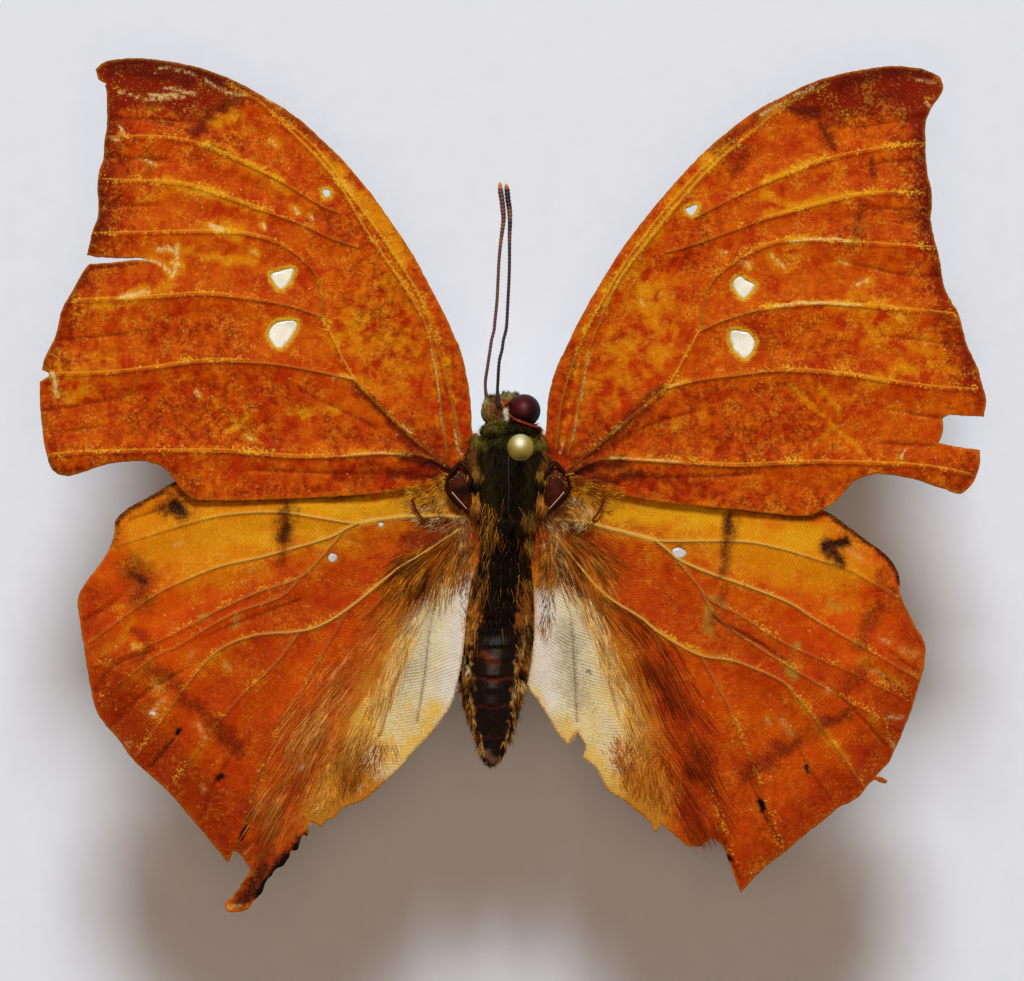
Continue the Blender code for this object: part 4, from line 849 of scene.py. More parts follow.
def wingMaterial(name, wing):
    look = dict(wingLook, **wingLook[wing["kind"]])
    made, tree, shader = newMaterial(name + "_scales", roughness=0.6, specular=0.03)
    root = (*onGrid(wing["rowRoot"])[0], wingLay["foreHeight"])
    place = millimetres(tree)
    grain = useGroup(tree, scaleGroup, Place=place, **{"Blotch Size": look["blotch"]}, Root=root, Pitch=0.19)
    tone = mixed(tree, grain["Blotch"], colour(*look["deep"]), colour(*look["light"]))

    def shaded(factor, title):
        # the tone so far, darkened
        return mixed(tree, factor, tone, mixed(tree, 1.0, tone, colour(*look[title]), "MULTIPLY"))

    def lay(over, title, amount, rough, noise="Grain"):
        mask = useGroup(tree, raggedGroup, Mask=layerOf(tree, title), Grain=grain[noise], Amount=rough)[0]
        return mixed(tree, times(tree, mask, amount), over, colour(*look[title]))

    # flecks and mottle are weakest near the wing's root
    away = ramp(tree, vectorCalc(tree, "DISTANCE", {0: place, 1: root}, 1), *look["calm"])
    mottle = times(tree, grain["Mottle"], times(tree, away, look["mottleShare"]))
    tone = mixed(tree, mottle, tone, colour(*look["mottle"]))
    for layer in (("yellow", 0.8, look["yellowRough"], "Blotch"), ("gold", 0.7, 0.8, "Blotch"),
                  ("warm", 0.92, look["warmRough"], "Mottle"), ("lobe", 0.95, 1.0), ("cream", 1.0, 0.7),
                  ("white", 1.0, 0.3), ("straw", 1.0, 0.6), ("grey", 0.7, 0.7), ("green", 0.7, 1.2),
                  ("veinShadow", 0.7, 0.5), ("pleatShade", 0.6, 0.4), ("pale", look["paleShare"], 0.6)):
        tone = lay(tone, *layer)
    # gold flecks, thickest in the yellow parts and in the painted highlight beside the veins
    share = calc(tree, "ADD", look["fleckShare"], times(tree, layerOf(tree, "yellow"), 0.3))
    share = calc(tree, "ADD", share, times(tree, layerOf(tree, "veinHighlight"), 0.6), clamp=True)
    share = times(tree, share, calc(tree, "SUBTRACT", 1.0, layerOf(tree, "cream")))
    share = times(tree, share, times(tree, away, ramp(tree, grain["Blotch"], 0.0, 1.0, 0.45, 1.25)))
    tone = mixed(tree, times(tree, grain["Fleck"], share), tone, colour(*look["fleck"]))
    for layer in (("veinHighlight", 0.6, 2.2, "Fleck"), ("darkMarkAndShade", 0.9, 0.55), ("rim", 0.5, 1.6),
                  ("glow", look["glowShare"], 1.8), ("blackAndShade", 1.0, 0.6), ("wornAndGlint", look["wornAndGlintShare"], 1.9)):
        tone = lay(tone, *layer)
    # rows of scales: dark gaps between them, strongest on the cream inner margin
    margin = calc(tree, "SUBTRACT", layerOf(tree, "cream"), layerOf(tree, "straw"), clamp=True)
    gaps = times(tree, calc(tree, "SUBTRACT", 1.0, grain["Rows"]),
                 calc(tree, "ADD", look["rows"], times(tree, margin, 0.30)),
                 calc(tree, "SUBTRACT", 1.0, times(tree, layerOf(tree, "white"), 0.5)),
                 ramp(tree, grain["Blotch"], 0.0, 1.0, 0.3, 1.1))
    tone = shaded(gaps, "gapShade")
    tone = shaded(times(tree, calc(tree, "SUBTRACT", grain["Grain"], 0.35), 0.35), "grainShade")
    tone = lay(tone, "dust", 1.0, 0.5)
    tone = mixed(tree, times(tree, grain["Dust"], 0.35), tone, colour(*look["dustGrain"]))
    tone = mixed(tree, grain["Soot"], tone, colour(*look["sootGrain"]))
    tree.links.new(ramp(tree, grain["Grain"], 0.0, 1.0, 0.5, 0.75), shader.inputs["Roughness"])
    dress(tree, shader, tone, calc(tree, "ADD", times(tree, grain["Rows"], 0.3), grain["Grain"]))
    return made


def makeUndersideMaterial():
    # the underside copies a dead leaf: buff and brown, with darker dust
    made, tree, shader = newMaterial("leaf_underside", roughness=0.8, specular=0.1)
    grain = useGroup(tree, scaleGroup, Place=millimetres(tree), Root=(0.0, 3.0, 24.0), Pitch=0.16)
    tone = mixed(tree, grain["Blotch"], colour(150, 98, 52), colour(188, 138, 80))
    for mask, shade in ((grain["Fleck"], (110, 62, 34)), (layerOf(tree, "vein"), (116, 70, 38)),
                        (layerOf(tree, "cream"), (206, 190, 158)), (layerOf(tree, "darkMarkAndShade"), (88, 44, 26))):
        tone = mixed(tree, times(tree, mask, 0.6), tone, colour(*shade))
    dress(tree, shader, tone, grain["Grain"], 0.4)
    return made


def makeFilmMaterial(name, pale, deep):
    # a wing's clear windows
    made, tree, shader = newMaterial(name, roughness=0.25, specular=0.5)
    grain = useGroup(tree, scaleGroup, Place=millimetres(tree), Root=(0.0, 0.0, 24.0), Pitch=0.3)
    tone = mixed(tree, grain["Blotch"], colour(*pale), colour(*deep))
    dress(tree, shader, mixed(tree, times(tree, grain["Fleck"], 0.25), tone, colour(214, 190, 130)))
    tree.links.new(ramp(tree, grain["Grain"], 0.0, 1.0, 0.85, 0.95), shader.inputs["Alpha"])
    return made


surfaces = {}   # height of each wing's sheet, for the hair that grows on it
undersideMaterial = makeUndersideMaterial()
filmMaterials = {"fore": makeFilmMaterial("window_film", (236, 232, 214), (228, 220, 192)),
                 "hind": makeFilmMaterial("spot_film", (200, 196, 190), (190, 184, 174))}
for wingName, wingData in wings.items():
    makeWing(wingName, wingData)

# Body: one skin for thorax, head, abdomen, palps and legs, with fur over it
bodyShape = {
    "height": 22.8, "headHeight": 22.7, "abdomenHeight": 22.7, "droop": 0.6,
    "sides": 28, "voxel": 0.10,
    "coatDepth": {"thorax": 0.32, "head": 0.22, "abdomen": 0.10, "lobe": 0.12, "limb": 0.03},
    # row and middle on the grid, half width, height over and depth under the body line, in turn
    "thorax": (428,508,1.05,0.9,0.9, 433,508,1.90,1.7,1.8, 441,508,2.40,2.5,2.6, 453,508,2.65,3.1,3.1,
               470,508,2.70,3.3,3.4, 490,508,2.55,3.2,3.4, 512,508,2.35,2.9,3.2, 535,507,2.30,2.4,2.8,
               560,505,2.30,2.0,2.3, 585,503,2.25,1.9,2.0, 603,502,2.00,1.7,1.8),
    "head": (394,507,0.45,0.35,0.45, 397,506,0.90,0.75,0.90, 403,505,1.30,1.15,1.25, 411,505,1.45,1.30,1.35,
             419,506,1.25,1.15,1.20, 430,507,0.95,0.85,0.85),
    "abdomen": (598,501,1.90,1.6,1.7, 625,498,2.25,1.9,2.0, 650,495,2.30,2.0,2.0, 675,493,2.20,1.9,2.0,
                700,492,1.95,1.7,1.8, 720,492,1.58,1.4,1.5, 740,492,1.15,1.05,1.15, 756,492,0.80,0.75,0.85,
                766,491.5,0.35,0.35,0.40),
    "segmentEnds": (604, 618, 632, 646, 661, 677, 692, 707, 723, 740, 756), "segmentStep": 0.10,
    # middle on the grid, height over the body line, radii
    "lobes": (((475, 463), 2.1, (0.60, 2.1, 0.65)), ((541, 463), 2.1, (0.60, 2.1, 0.65)),
              ((459, 486), 1.3, (1.0, 0.8, 0.75)), ((559, 486), 1.3, (1.0, 0.8, 0.75)),
              ((508, 528), 2.0, (1.1, 0.9, 0.75)), ((511, 431), 0.35, (2.15, 0.75, 1.65)),
              ((493, 409), 0.25, (0.85, 1.05, 0.95)), ((509, 399), 0.0, (0.75, 0.55, 0.75))),
    # x, row and height over the head's line in turn
    "palps": ((503,412,-1.2, 503,406,-2.0, 503.5,400,-2.2, 504,395.5,-1.8, 504,393.8,-1.2),
              (515,412,-1.0, 515,406,-1.75, 515.5,400,-1.9, 516,395.5,-1.5, 516,393.8,-0.9)),
    "palpRadii": (0.26, 0.27, 0.28, 0.26, 0.14),
    # row of the hip, then outwards, forward and over the body line in turn, and the radii
    "legs": ((437, (0.9,0.0,-0.9, 1.3,0.6,-3.4, 1.0,1.7,-3.0, 0.75,2.1,-4.1), (0.33, 0.31, 0.27, 0.15)),
             (474, (1.0,0.0,-1.8, 2.7,0.9,-4.5, 1.7,-2.3,-5.4, 1.1,-4.8,-5.1), (0.38, 0.33, 0.27, 0.14)),
             (514, (0.9,0.0,-1.6, 2.8,-1.1,-4.2, 1.9,-4.4,-5.1, 1.4,-7.2,-4.5), (0.38, 0.33, 0.27, 0.14))),
    "eyes": {"eye_left": ((494.5, 412), -0.95, 0.90), "eye_right": ((524, 410.5), 0.60, 1.08)},
}
bodyNodes = ("thorax", "head", "abdomen", "palp_left", "palp_right", "leg_fore_left", "leg_fore_right",
             "leg_mid_left", "leg_mid_right", "leg_hind_left", "leg_hind_right")
# colour marks of the body seen from above: screen colour, strength and radius in grid steps, then places
bodyLook = {
    "thorax": (24, 18, 8), "abdomen": (24, 10, 5), "head": (56, 38, 18), "legs": (112, 78, 44),
    "below": (120, 92, 56),
    "flank": (28,13,6, 150,88,30, 196,132,50, 44,20,8, 176,104,36, 212,168,92, 52,24,10),
    "marks": (
        (108,98,34, 0.85,7, 476,438, 482,440), (106,96,34, 0.85,7, 535,440, 544,440), (118,68,26, 0.8,5,
         471,446, 470,470), (118,68,26, 0.8,5, 547,448, 548,470), (62,56,22, 0.6,4, 488,438, 500,443,
         512,438), (110,96,32, 0.9,6, 482,421, 494,424, 502,422), (66,58,20, 0.8,5, 482,430, 500,431),
        (18,10,5, 0.85,4, 486,436, 510,434, 545,433), (40,26,10, 0.8,6, 514,428, 544,430), (170,72,20, 0.7,5,
         474,430, 478,424), (176,66,20, 0.7,5, 546,434, 544,426), (176,122,44, 0.85,4, 474,473, 479,477),
        (176,122,44, 0.85,4, 541,476, 546,480), (14,10,6, 0.9,3.5, 474,484, 475,496), (14,10,6, 0.9,3.5,
         543,482, 543,496), (50,38,15, 0.6,8, 488,462, 488,520), (50,38,15, 0.6,8, 530,466, 530,520),
        (24,18,8, 0.8,6, 508,470, 508,520), (70,50,20, 0.6,7, 494,524, 486,545), (78,52,22, 0.6,7, 522,524,
         530,545), (18,12,6, 0.9,5, 490,520, 507,528, 526,520), (176,112,40, 0.8,7, 472,530, 468,590,
         466,636), (176,112,40, 0.8,7, 538,530, 538,590, 536,636), (18,10,5, 0.9,14, 507,545, 505,600,
         500,640), (140,100,54, 0.8,9, 487,407, 493,414), (170,156,100, 0.9,3.5, 479,420, 480,408, 485,401),
        (92,48,30, 0.8,5, 495,406, 498,414), (150,96,46, 0.7,3, 484,408, 489,412), (240,232,200, 1,2, 505,409,
         507,418), (132,122,70, 0.8,6, 502,396, 514,397), (150,74,26, 0.7,2.6, 503,401, 507,406), (92,28,14,
         0.8,1.6, 478,679, 495,681, 512,678), (84,26,12, 0.7,1.3, 478,706, 492,709, 506,706), (70,22,12,
         0.6,1.2, 482,738, 500,738), (120,50,20, 0.6,5, 482,654, 492,662), (176,96,26, 0.8,6, 470,600,
         476,616), (160,80,26, 0.8,6, 528,604, 522,622), (24,12,6, 0.9,3, 462,648, 477,650), (24,12,6, 0.9,3,
         528,650, 516,652), (226,206,150, 0.8,3, 463,661, 466,672), (206,170,104, 0.6,2.4, 525,642, 521,654),
        (22,10,5, 0.9,3, 464,684, 479,682), (22,10,5, 0.9,3, 524,684, 508,684), (220,186,116, 0.7,2, 518,690,
         514,696), (130,92,70, 0.7,3.5, 487,754, 494,763),
    ),
}


def bands(count, sides):
    # faces between rings of points, ring after ring
    pairs = [(k * sides + j, k * sides + (j + 1) % sides) for k in range(count) for j in range(sides)]
    return [(a, a + sides, b + sides, b) for a, b in pairs]


def ringsAround(stations, height, shrink, sides, droop=0.0, step=0.0, ends=()):
    # a closed body through cross rings; returns points and faces
    stations = np.reshape(stations, (-1, 5)).astype(float)
    fine = smoothRun(stations, 1.6 if step else 5.5, parts=16)
    turn = np.linspace(0, 2 * math.pi, sides, endpoint=False)
    points = []
    for row, middle, half, up, down in fine:
        grow = -shrink
        if step:
            before = max([e for e in ends if e <= row], default=row)
            after = min([e for e in ends if e > row], default=row + 1)
            grow += step * ((row - before) / max(after - before, 1)) ** 1.5
        sag = droop * max(0.0, (row - stations[0, 0]) / (stations[-1, 0] - stations[0, 0])) ** 2
        reach = [max(0.12, value + grow) for value in (half, up, down)]
        across, along = onGrid((middle, row))[0]
        for angle in turn:
            rise = math.sin(angle)
            points.append((across + reach[0] * math.cos(angle), along,
                           height - sag + rise * (reach[1] if rise > 0 else reach[2])))
    last = len(points) - sides
    faces = [(a, d, c, b) for a, b, c, d in bands(len(fine) - 1, sides)]
    faces += [tuple(range(sides - 1, -1, -1)), tuple(range(last, last + sides))]
    return np.array(points), faces


def tubeAround(line, radii, sides=10, step=0.18, wobble=None):
    fine = smoothRun(np.column_stack((line, radii)), step)
    path, radius = fine[:, :3], fine[:, 3]
    if wobble is not None:
        radius = radius * wobble(np.linspace(0, 1, len(radius)))
    along = np.gradient(path, axis=0)
    along /= np.linalg.norm(along, axis=1)[:, None]
    side = np.cross(along, (0.13, 0.05, 1.0))
    side /= np.linalg.norm(side, axis=1)[:, None]
    other = np.cross(along, side)
    turn = np.linspace(0, 2 * math.pi, sides, endpoint=False)
    spokes = np.cos(turn)[:, None] * side[:, None] + np.sin(turn)[:, None] * other[:, None]
    points = (path[:, None] + radius[:, None, None] * spokes).reshape(-1, 3)
    ends = [tuple(range(sides)), tuple(range(len(points) - 1, len(points) - sides - 1, -1))]
    return points, bands(len(path) - 1, sides) + ends


def ball(centre, radii, sides=28, rings=18):
    points = []
    for k in range(1, rings):
        lean = math.pi * k / rings
        for j in range(sides):
            angle = 2 * math.pi * j / sides
            points.append((centre[0] + radii[0] * math.sin(lean) * math.cos(angle),
                           centre[1] + radii[1] * math.sin(lean) * math.sin(angle),
                           centre[2] + radii[2] * math.cos(lean)))
    faces = bands(rings - 2, sides)
    top, bottom, start = len(points), len(points) + 1, (rings - 2) * sides
    points += [(centre[0], centre[1], centre[2] + radii[2]), (centre[0], centre[1], centre[2] - radii[2])]
    for j in range(sides):
        faces += [(top, j, (j + 1) % sides), (bottom, start + (j + 1) % sides, start + j)]
    return np.array(points), faces


def joined(name, parts):
    points, faces, start = [], [], 0
    for somePoints, someFaces in parts:
        points.append(somePoints)
        faces.extend([tuple(k + start for k in face) for face in someFaces])
        start += len(somePoints)
    mesh = bpy.data.meshes.new(name)
    mesh.from_pydata(np.vstack(points).tolist(), [], faces)
    work = bmesh.new()
    work.from_mesh(mesh)
    bmesh.ops.recalc_face_normals(work, faces=work.faces)
    work.to_mesh(mesh)
    work.free()
    mesh.shade_smooth()
    return newObject(name, mesh)


def applied(piece):
    # swap a piece's mesh for the result of its modifiers
    made = bpy.data.meshes.new_from_object(piece.evaluated_get(bpy.context.evaluated_depsgraph_get()))
    piece.modifiers.clear()
    piece.data = made
    made.shade_smooth()
    return piece


def makeSkin():
    shape = bodyShape
    depth, sides = shape["coatDepth"], shape["sides"]
    parts = [ringsAround(shape["thorax"], shape["height"], depth["thorax"], sides),
             ringsAround(shape["head"], shape["headHeight"], depth["head"], sides),
             ringsAround(shape["abdomen"], shape["abdomenHeight"], depth["abdomen"], sides + 8,
                         shape["droop"], shape["segmentStep"], shape["segmentEnds"])]
    for middle, height, radii in shape["lobes"]:
        parts.append(ball((*onGrid(middle)[0], shape["height"] + height), [r - depth["lobe"] for r in radii]))
    for line in shape["palps"]:
        line = np.reshape(line, (-1, 3))
        line = np.column_stack((onGrid(line[:, :2]), shape["headHeight"] + line[:, 2]))
        parts.append(tubeAround(line, [r - depth["limb"] for r in shape["palpRadii"]]))
    for row, line, radii in shape["legs"]:
        middle, start = onGrid((drawing["bodyLine"], row))[0]
        for side in (-1, 1):
            bent = np.reshape(line, (-1, 3)) * (side, 1, 1) + (middle, start, shape["height"])
            parts.append(tubeAround(bent, [r - depth["limb"] for r in radii]))
    skin = joined("body_skin", parts)
    remesh = skin.modifiers.new("remesh", "REMESH")
    remesh.mode, remesh.voxel_size = "VOXEL", shape["voxel"]
    smooth = skin.modifiers.new("smooth", "SMOOTH")
    smooth.factor, smooth.iterations = 0.5, 2
    return applied(skin)


def paletteTones(palette, share):
    # blends along a row of screen colours, given as red, green and blue in turn
    shades = np.array([colour(*shade)[:3] for shade in np.reshape(palette, (-1, 3))])
    spot = np.clip(share, 0, 0.9999) * (len(shades) - 1)
    low = spot.astype(int)
    t = (spot - low)[:, None]
    return shades[low] * (1 - t) + shades[low + 1] * t


def bodyTones(places):
    # region and marks as a colour for each place
    flat, row = places[:, :2], rowOf(places)
    tone = plainTone(bodyLook["thorax"], len(places))
    tone = laidOver(tone, bodyLook["abdomen"], softStep(row, 596, 612))
    tone = laidOver(tone, bodyLook["head"], 1 - softStep(row, 420, 428))
    rows, middles, halves = np.reshape(bodyShape["abdomen"], (-1, 5))[:, :3].T
    side = np.abs(places[:, 0] - (np.interp(row, rows, middles) - drawing["originX"]) * gridStep)
    side = side / np.interp(row, rows, halves)
    flank = softStep(side + 0.25 * cloud(flat, 0.3, 35), 0.66, 0.84) * softStep(row, 606, 640)
    shades = paletteTones(bodyLook["flank"], softStep(cloud(flat * (1, 0.7), 0.32, 36), 0.25, 0.75))
    tone = tone * (1 - flank[:, None]) + shades * flank[:, None]
    above = softStep(places[:, 2], 21.0, 22.6)
    wander = (np.column_stack((cloud(flat, 0.35, 31), cloud(flat, 0.35, 32)))
              + 0.6 * np.column_stack((cloud(flat, 0.15, 33), cloud(flat, 0.15, 34))) - 0.8)
    for red, green, blue, strength, radius, *line in bodyLook["marks"]:
        radius = radius * gridStep
        far = distanceTo(flat + wander * min(1.3 * radius, 0.5), onGrid(line), 1.8 * radius)[0]
        mask = strength * above * (1 - softStep(far, 0.2 * radius, 1.7 * radius))
        tone = laidOver(tone, (red, green, blue), mask)
    tone = laidOver(tone, bodyLook["legs"], (1 - softStep(places[:, 2], 18.9, 19.9)) * 0.9)
    below = (1 - softStep(places[:, 2], 20.3, 21.6)) * 0.5 * softStep(row, 440, 470)
    return laidOver(tone, bodyLook["below"], below)


def makeCoatTree():
    tree, given, result = newGroup("coat", "GeometryNodeTree", (
        ("Geometry", "Geometry"), ("Density", "Float", 60.0), ("Seed", "Int", 1), ("Length", "Float", 0.6),
        ("Width", "Float", 0.05), ("Bend", "Float", 0.4), ("Spread", "Float", 0.35), ("Uneven", "Float", 0.4),
        ("Parts", "Int", 2), ("Material", "Material")), (("Geometry", "Geometry"),))
    ask = given.outputs

    def named(title, kind="FLOAT_VECTOR"):
        return addNode(tree, "GeometryNodeInputNamedAttribute", {"Name": title}, data_type=kind).outputs[0]

    def stored(geometry, title, value, kind, domain):
        given = {"Geometry": geometry, "Name": title, "Value": value}
        node = addNode(tree, "GeometryNodeStoreNamedAttribute", given, data_type=kind, domain=domain)
        return node.outputs[0]

    density = times(tree, ask["Density"], named("thick", "FLOAT"))
    roots = addNode(tree, "GeometryNodeDistributePointsOnFaces", {"Mesh": ask["Geometry"], "Density": density,
                                                                 "Seed": ask["Seed"]})
    keep = stored(roots.outputs["Points"], "rootPlace", named("skinMap"), "FLOAT_VECTOR", "POINT")
    chance = addNode(tree, "FunctionNodeRandomValue", {"Seed": ask["Seed"]}, data_type="FLOAT").outputs[1]
    keep = stored(keep, "shade", chance, "FLOAT", "POINT")
    away = addNode(tree, "FunctionNodeRandomValue", {0: (-1, -1, -1), 1: (1, 1, 1), "Seed": ask["Seed"]},
                   data_type="FLOAT_VECTOR").outputs[0]
    away = vectorCalc(tree, "SCALE", {0: away, 3: ask["Spread"]})
    lean = vectorCalc(tree, "NORMALIZE", {0: vectorCalc(tree, "ADD", {0: named("lie"), 1: away})})
    first = addNode(tree, "FunctionNodeAlignRotationToVector", {"Vector": lean}, axis="Z").outputs[0]
    normal = {"Rotation": first, "Vector": roots.outputs["Normal"]}
    second = addNode(tree, "FunctionNodeAlignRotationToVector", normal, axis="X", pivot_axis="Z").outputs[0]
    # one tuft: a thin three-sided blade that bends over
    blade = addNode(tree, "GeometryNodeMeshCone", {
        "Vertices": 3, "Side Segments": ask["Parts"], "Radius Top": 0.0,
        "Radius Bottom": times(tree, ask["Width"], 0.5), "Depth": ask["Length"]}, fill_type="NGON").outputs
    mapped = stored(blade["Mesh"], "tuftPlace", blade["UV Map"], "FLOAT2", "CORNER")
    spot = tree.nodes.new("GeometryNodeInputPosition").outputs[0]
    share = calc(tree, "DIVIDE", addNode(tree, "ShaderNodeSeparateXYZ", {0: spot}).outputs[2], ask["Length"])
    sag = times(tree, times(tree, share, share, ask["Bend"]), times(tree, ask["Length"], -1.0))
    shift = addNode(tree, "ShaderNodeCombineXYZ", {0: sag}).outputs[0]
    bent = addNode(tree, "GeometryNodeSetPosition", {"Geometry": mapped, "Offset": shift}).outputs[0]
    size = addNode(tree, "FunctionNodeRandomValue", {
        2: calc(tree, "SUBTRACT", 1.0, ask["Uneven"]), 3: calc(tree, "ADD", 1.0, ask["Uneven"]),
        "Seed": calc(tree, "ADD", ask["Seed"], 7.0)}, data_type="FLOAT").outputs[1]
    size = times(tree, size, named("long", "FLOAT"))
    grow = addNode(tree, "ShaderNodeCombineXYZ", {0: size, 1: 1.0, 2: size}).outputs[0]
    planted = addNode(tree, "GeometryNodeInstanceOnPoints", {
        "Points": keep, "Instance": bent, "Rotation": second, "Scale": grow}).outputs[0]
    real = addNode(tree, "GeometryNodeRealizeInstances", {"Geometry": planted}).outputs[0]
    patch = vectorCalc(tree, "SCALE", {0: named("tuftPlace"), 3: 0.003})
    bake = vectorCalc(tree, "ADD", {0: named("rootPlace"), 1: patch})
    final = stored(real, "OFBake", bake, "FLOAT2", "CORNER")
    done = addNode(tree, "GeometryNodeSetMaterial", {"Geometry": final, "Material": ask["Material"]})
    tree.links.new(done.outputs[0], result.inputs[0])
    return tree


coatTree = makeCoatTree()


def growCoat(name, anchor, slot, material, **settings):
    # turns a painted anchor mesh into its coat of tufts
    modifier = anchor.modifiers.new("coat", "NODES")
    modifier.node_group = coatTree
    sockets = {item.name: item.identifier for item in coatTree.interface.items_tree
               if item.item_type == "SOCKET" and item.in_out == "INPUT"}
    for title, value in dict(settings, Material=material).items():
        modifier[sockets[title]] = value
    anchor.update_tag()
    bpy.context.view_layer.update()
    applied(anchor)
    anchor.name = anchor.data.name = name
    for spare in [layer.name for layer in anchor.data.attributes
                  if layer.name in ("rootPlace", "tuftPlace", "lie", "long", "thick")]:
        anchor.data.attributes.remove(anchor.data.attributes[spare])
    settle(anchor)
    anchor.data.calc_loop_triangles()
    print(name, "coat:", len(anchor.data.loop_triangles), "triangles")


def unwrapAround(piece, places):
    # unwraps the skin round the body's long axis, with the seam underneath
    mesh = piece.data
    corners = cornersOf(mesh)
    totals = np.empty(len(mesh.polygons), np.int64)
    mesh.polygons.foreach_get("loop_total", totals)
    angle = (np.arctan2(places[:, 0] + 0.3, bodyShape["height"] - places[:, 2]) / (2 * math.pi)) % 1.0
    around = angle[corners]
    starts = np.concatenate(([0], np.cumsum(totals)[:-1]))
    highest = np.maximum.reduceat(around, starts)
    wraps = np.repeat(highest - np.minimum.reduceat(around, starts) > 0.5, totals)
    around = np.where(wraps & (around < 0.5), around + 1, around)
    low, high = places[:, 1].min(), places[:, 1].max()
    along = (places[corners, 1] - low) / (high - low)
    mapSkin(mesh, 0.02 + 0.94 * np.column_stack((around, along)))


def makeFurMaterial(name, roughness, specular, lift, spread):
    # coat and skin read the same painted colour; each tuft is a little lighter or darker
    made, tree, shader = newMaterial(name, roughness=roughness, specular=specular)
    low, high = lift - spread, lift + spread
    dark, light = (low * 1.1, low * 0.85, low * 0.6, 1), (high, high * 1.04, high, 1)
    shade = mixed(tree, layerOf(tree, "shade"), dark, light)
    dress(tree, shader, vectorCalc(tree, "MULTIPLY", {0: layerOf(tree, "tone", "Color"), 1: shade}))
    return made


def makeSkinMaterial():
    made, tree, shader = newMaterial("body_skin", roughness=0.5, specular=0.06)
    grain = noiseOn(tree, millimetres(tree), 3.0, 6.0, 0.7)
    shade = ramp(tree, grain, 0.3, 0.7, 0.6, 1.25)
    tone = vectorCalc(tree, "SCALE", {0: layerOf(tree, "tone", "Color"), 3: shade})
    dress(tree, shader, tone, grain, deep=0.05)
    for title, dull, glossy in (("Roughness", 0.75, 0.26), ("Specular IOR Level", 0.05, 0.24)):
        tree.links.new(ramp(tree, layerOf(tree, "gloss"), 0.0, 1.0, dull, glossy), shader.inputs[title])
    return made


# long hair along the body: rows, how far round the side it begins and is full, then the hair itself
fringes = (
    {"name": "side_fringe", "from": 496, "to": 655, "round": (0.30, 0.65), "across": 0.10, "density": 50.0,
     "length": 1.1, "out": 0.2, "seed": 17,
     "palette": (28,14,6, 140,78,22, 196,118,34, 60,28,9, 150,84,26, 206,150,66, 40,19,8)},
    {"name": "flank_fringe", "from": 640, "to": 768, "round": (0.50, 0.80), "across": 0.0, "density": 60.0,
     "length": 0.45, "out": 0.45, "seed": 19,
     "palette": (30,14,6, 160,92,30, 206,140,52, 44,20,8, 186,112,38, 220,180,104, 50,24,10)},
)


def makeFringe(look, mesh, places, normals, row):
    coat = newObject(look["name"], mesh.copy())
    side = np.sign(places[:, 0] + 0.3)
    along = np.column_stack((look["out"] * side, -np.ones(len(places)), np.full(len(places), 0.06)))
    span = softStep(row, look["from"], look["from"] + 25) * (1 - softStep(row, look["to"] - 30, look["to"]))
    share = look["across"] + (1 - look["across"]) * softStep(np.abs(normals[:, 0]), *look["round"])
    streak = np.column_stack((0.35 * places[:, 1], places[:, 0] + 0.7 * places[:, 2]))
    tone = paletteTones(look["palette"], softStep(cloud(streak, 0.3, 81 + look["seed"]), 0.25, 0.75))
    paintTone(coat, tone)
    paint(coat, "lie", along)
    paint(coat, "long", 0.6 + 0.8 * cloud(streak, 0.5, 82 + look["seed"]))
    paint(coat, "thick", span * share * softStep(places[:, 2], 21.6, 22.6))
    growCoat(look["name"], coat, "thorax_fur", longHair, Density=look["density"], Seed=look["seed"],
             Length=look["length"], Width=0.045, Bend=0.25, Spread=0.35, Uneven=0.5, Parts=3)


# own colour, then painted highlights and painted shade as colour, place and size in radii
eyeColourAndPaintedLight = ((33, 7, 7), ((88, 20, 20), (-0.15, 0.30), 0.50), ((14, 4, 5), (-0.2, -0.75), 0.45),
           ((16, 4, 5), (0.85, -0.3), 0.40))
pearlColourAndPaintedLight = ((150, 128, 44), ((172, 164, 122), (0.0, 1.05), 0.40), ((252, 244, 206), (-0.04, 0.38), 0.34),
             ((92, 74, 28), (0.1, -1.05), 0.60), ((112, 94, 40), (-1.0, -0.2), 0.35))


# lays painted highlights and painted shade over a ball's own colour
def paintLightOnBall(piece, centre, radius, look):
    flat = (placesOf(piece)[:, :2] - centre) / radius
    tone = plainTone(look[0], len(flat))
    for shade, spot, size in look[1:]:
        tone = laidOver(tone, shade, np.exp(-(np.linalg.norm(flat - spot, axis=1) / size) ** 2))
    paintTone(piece, tone)


longHair = makeFurMaterial("long_hair", 0.55, 0.05, 1.08, 0.58)


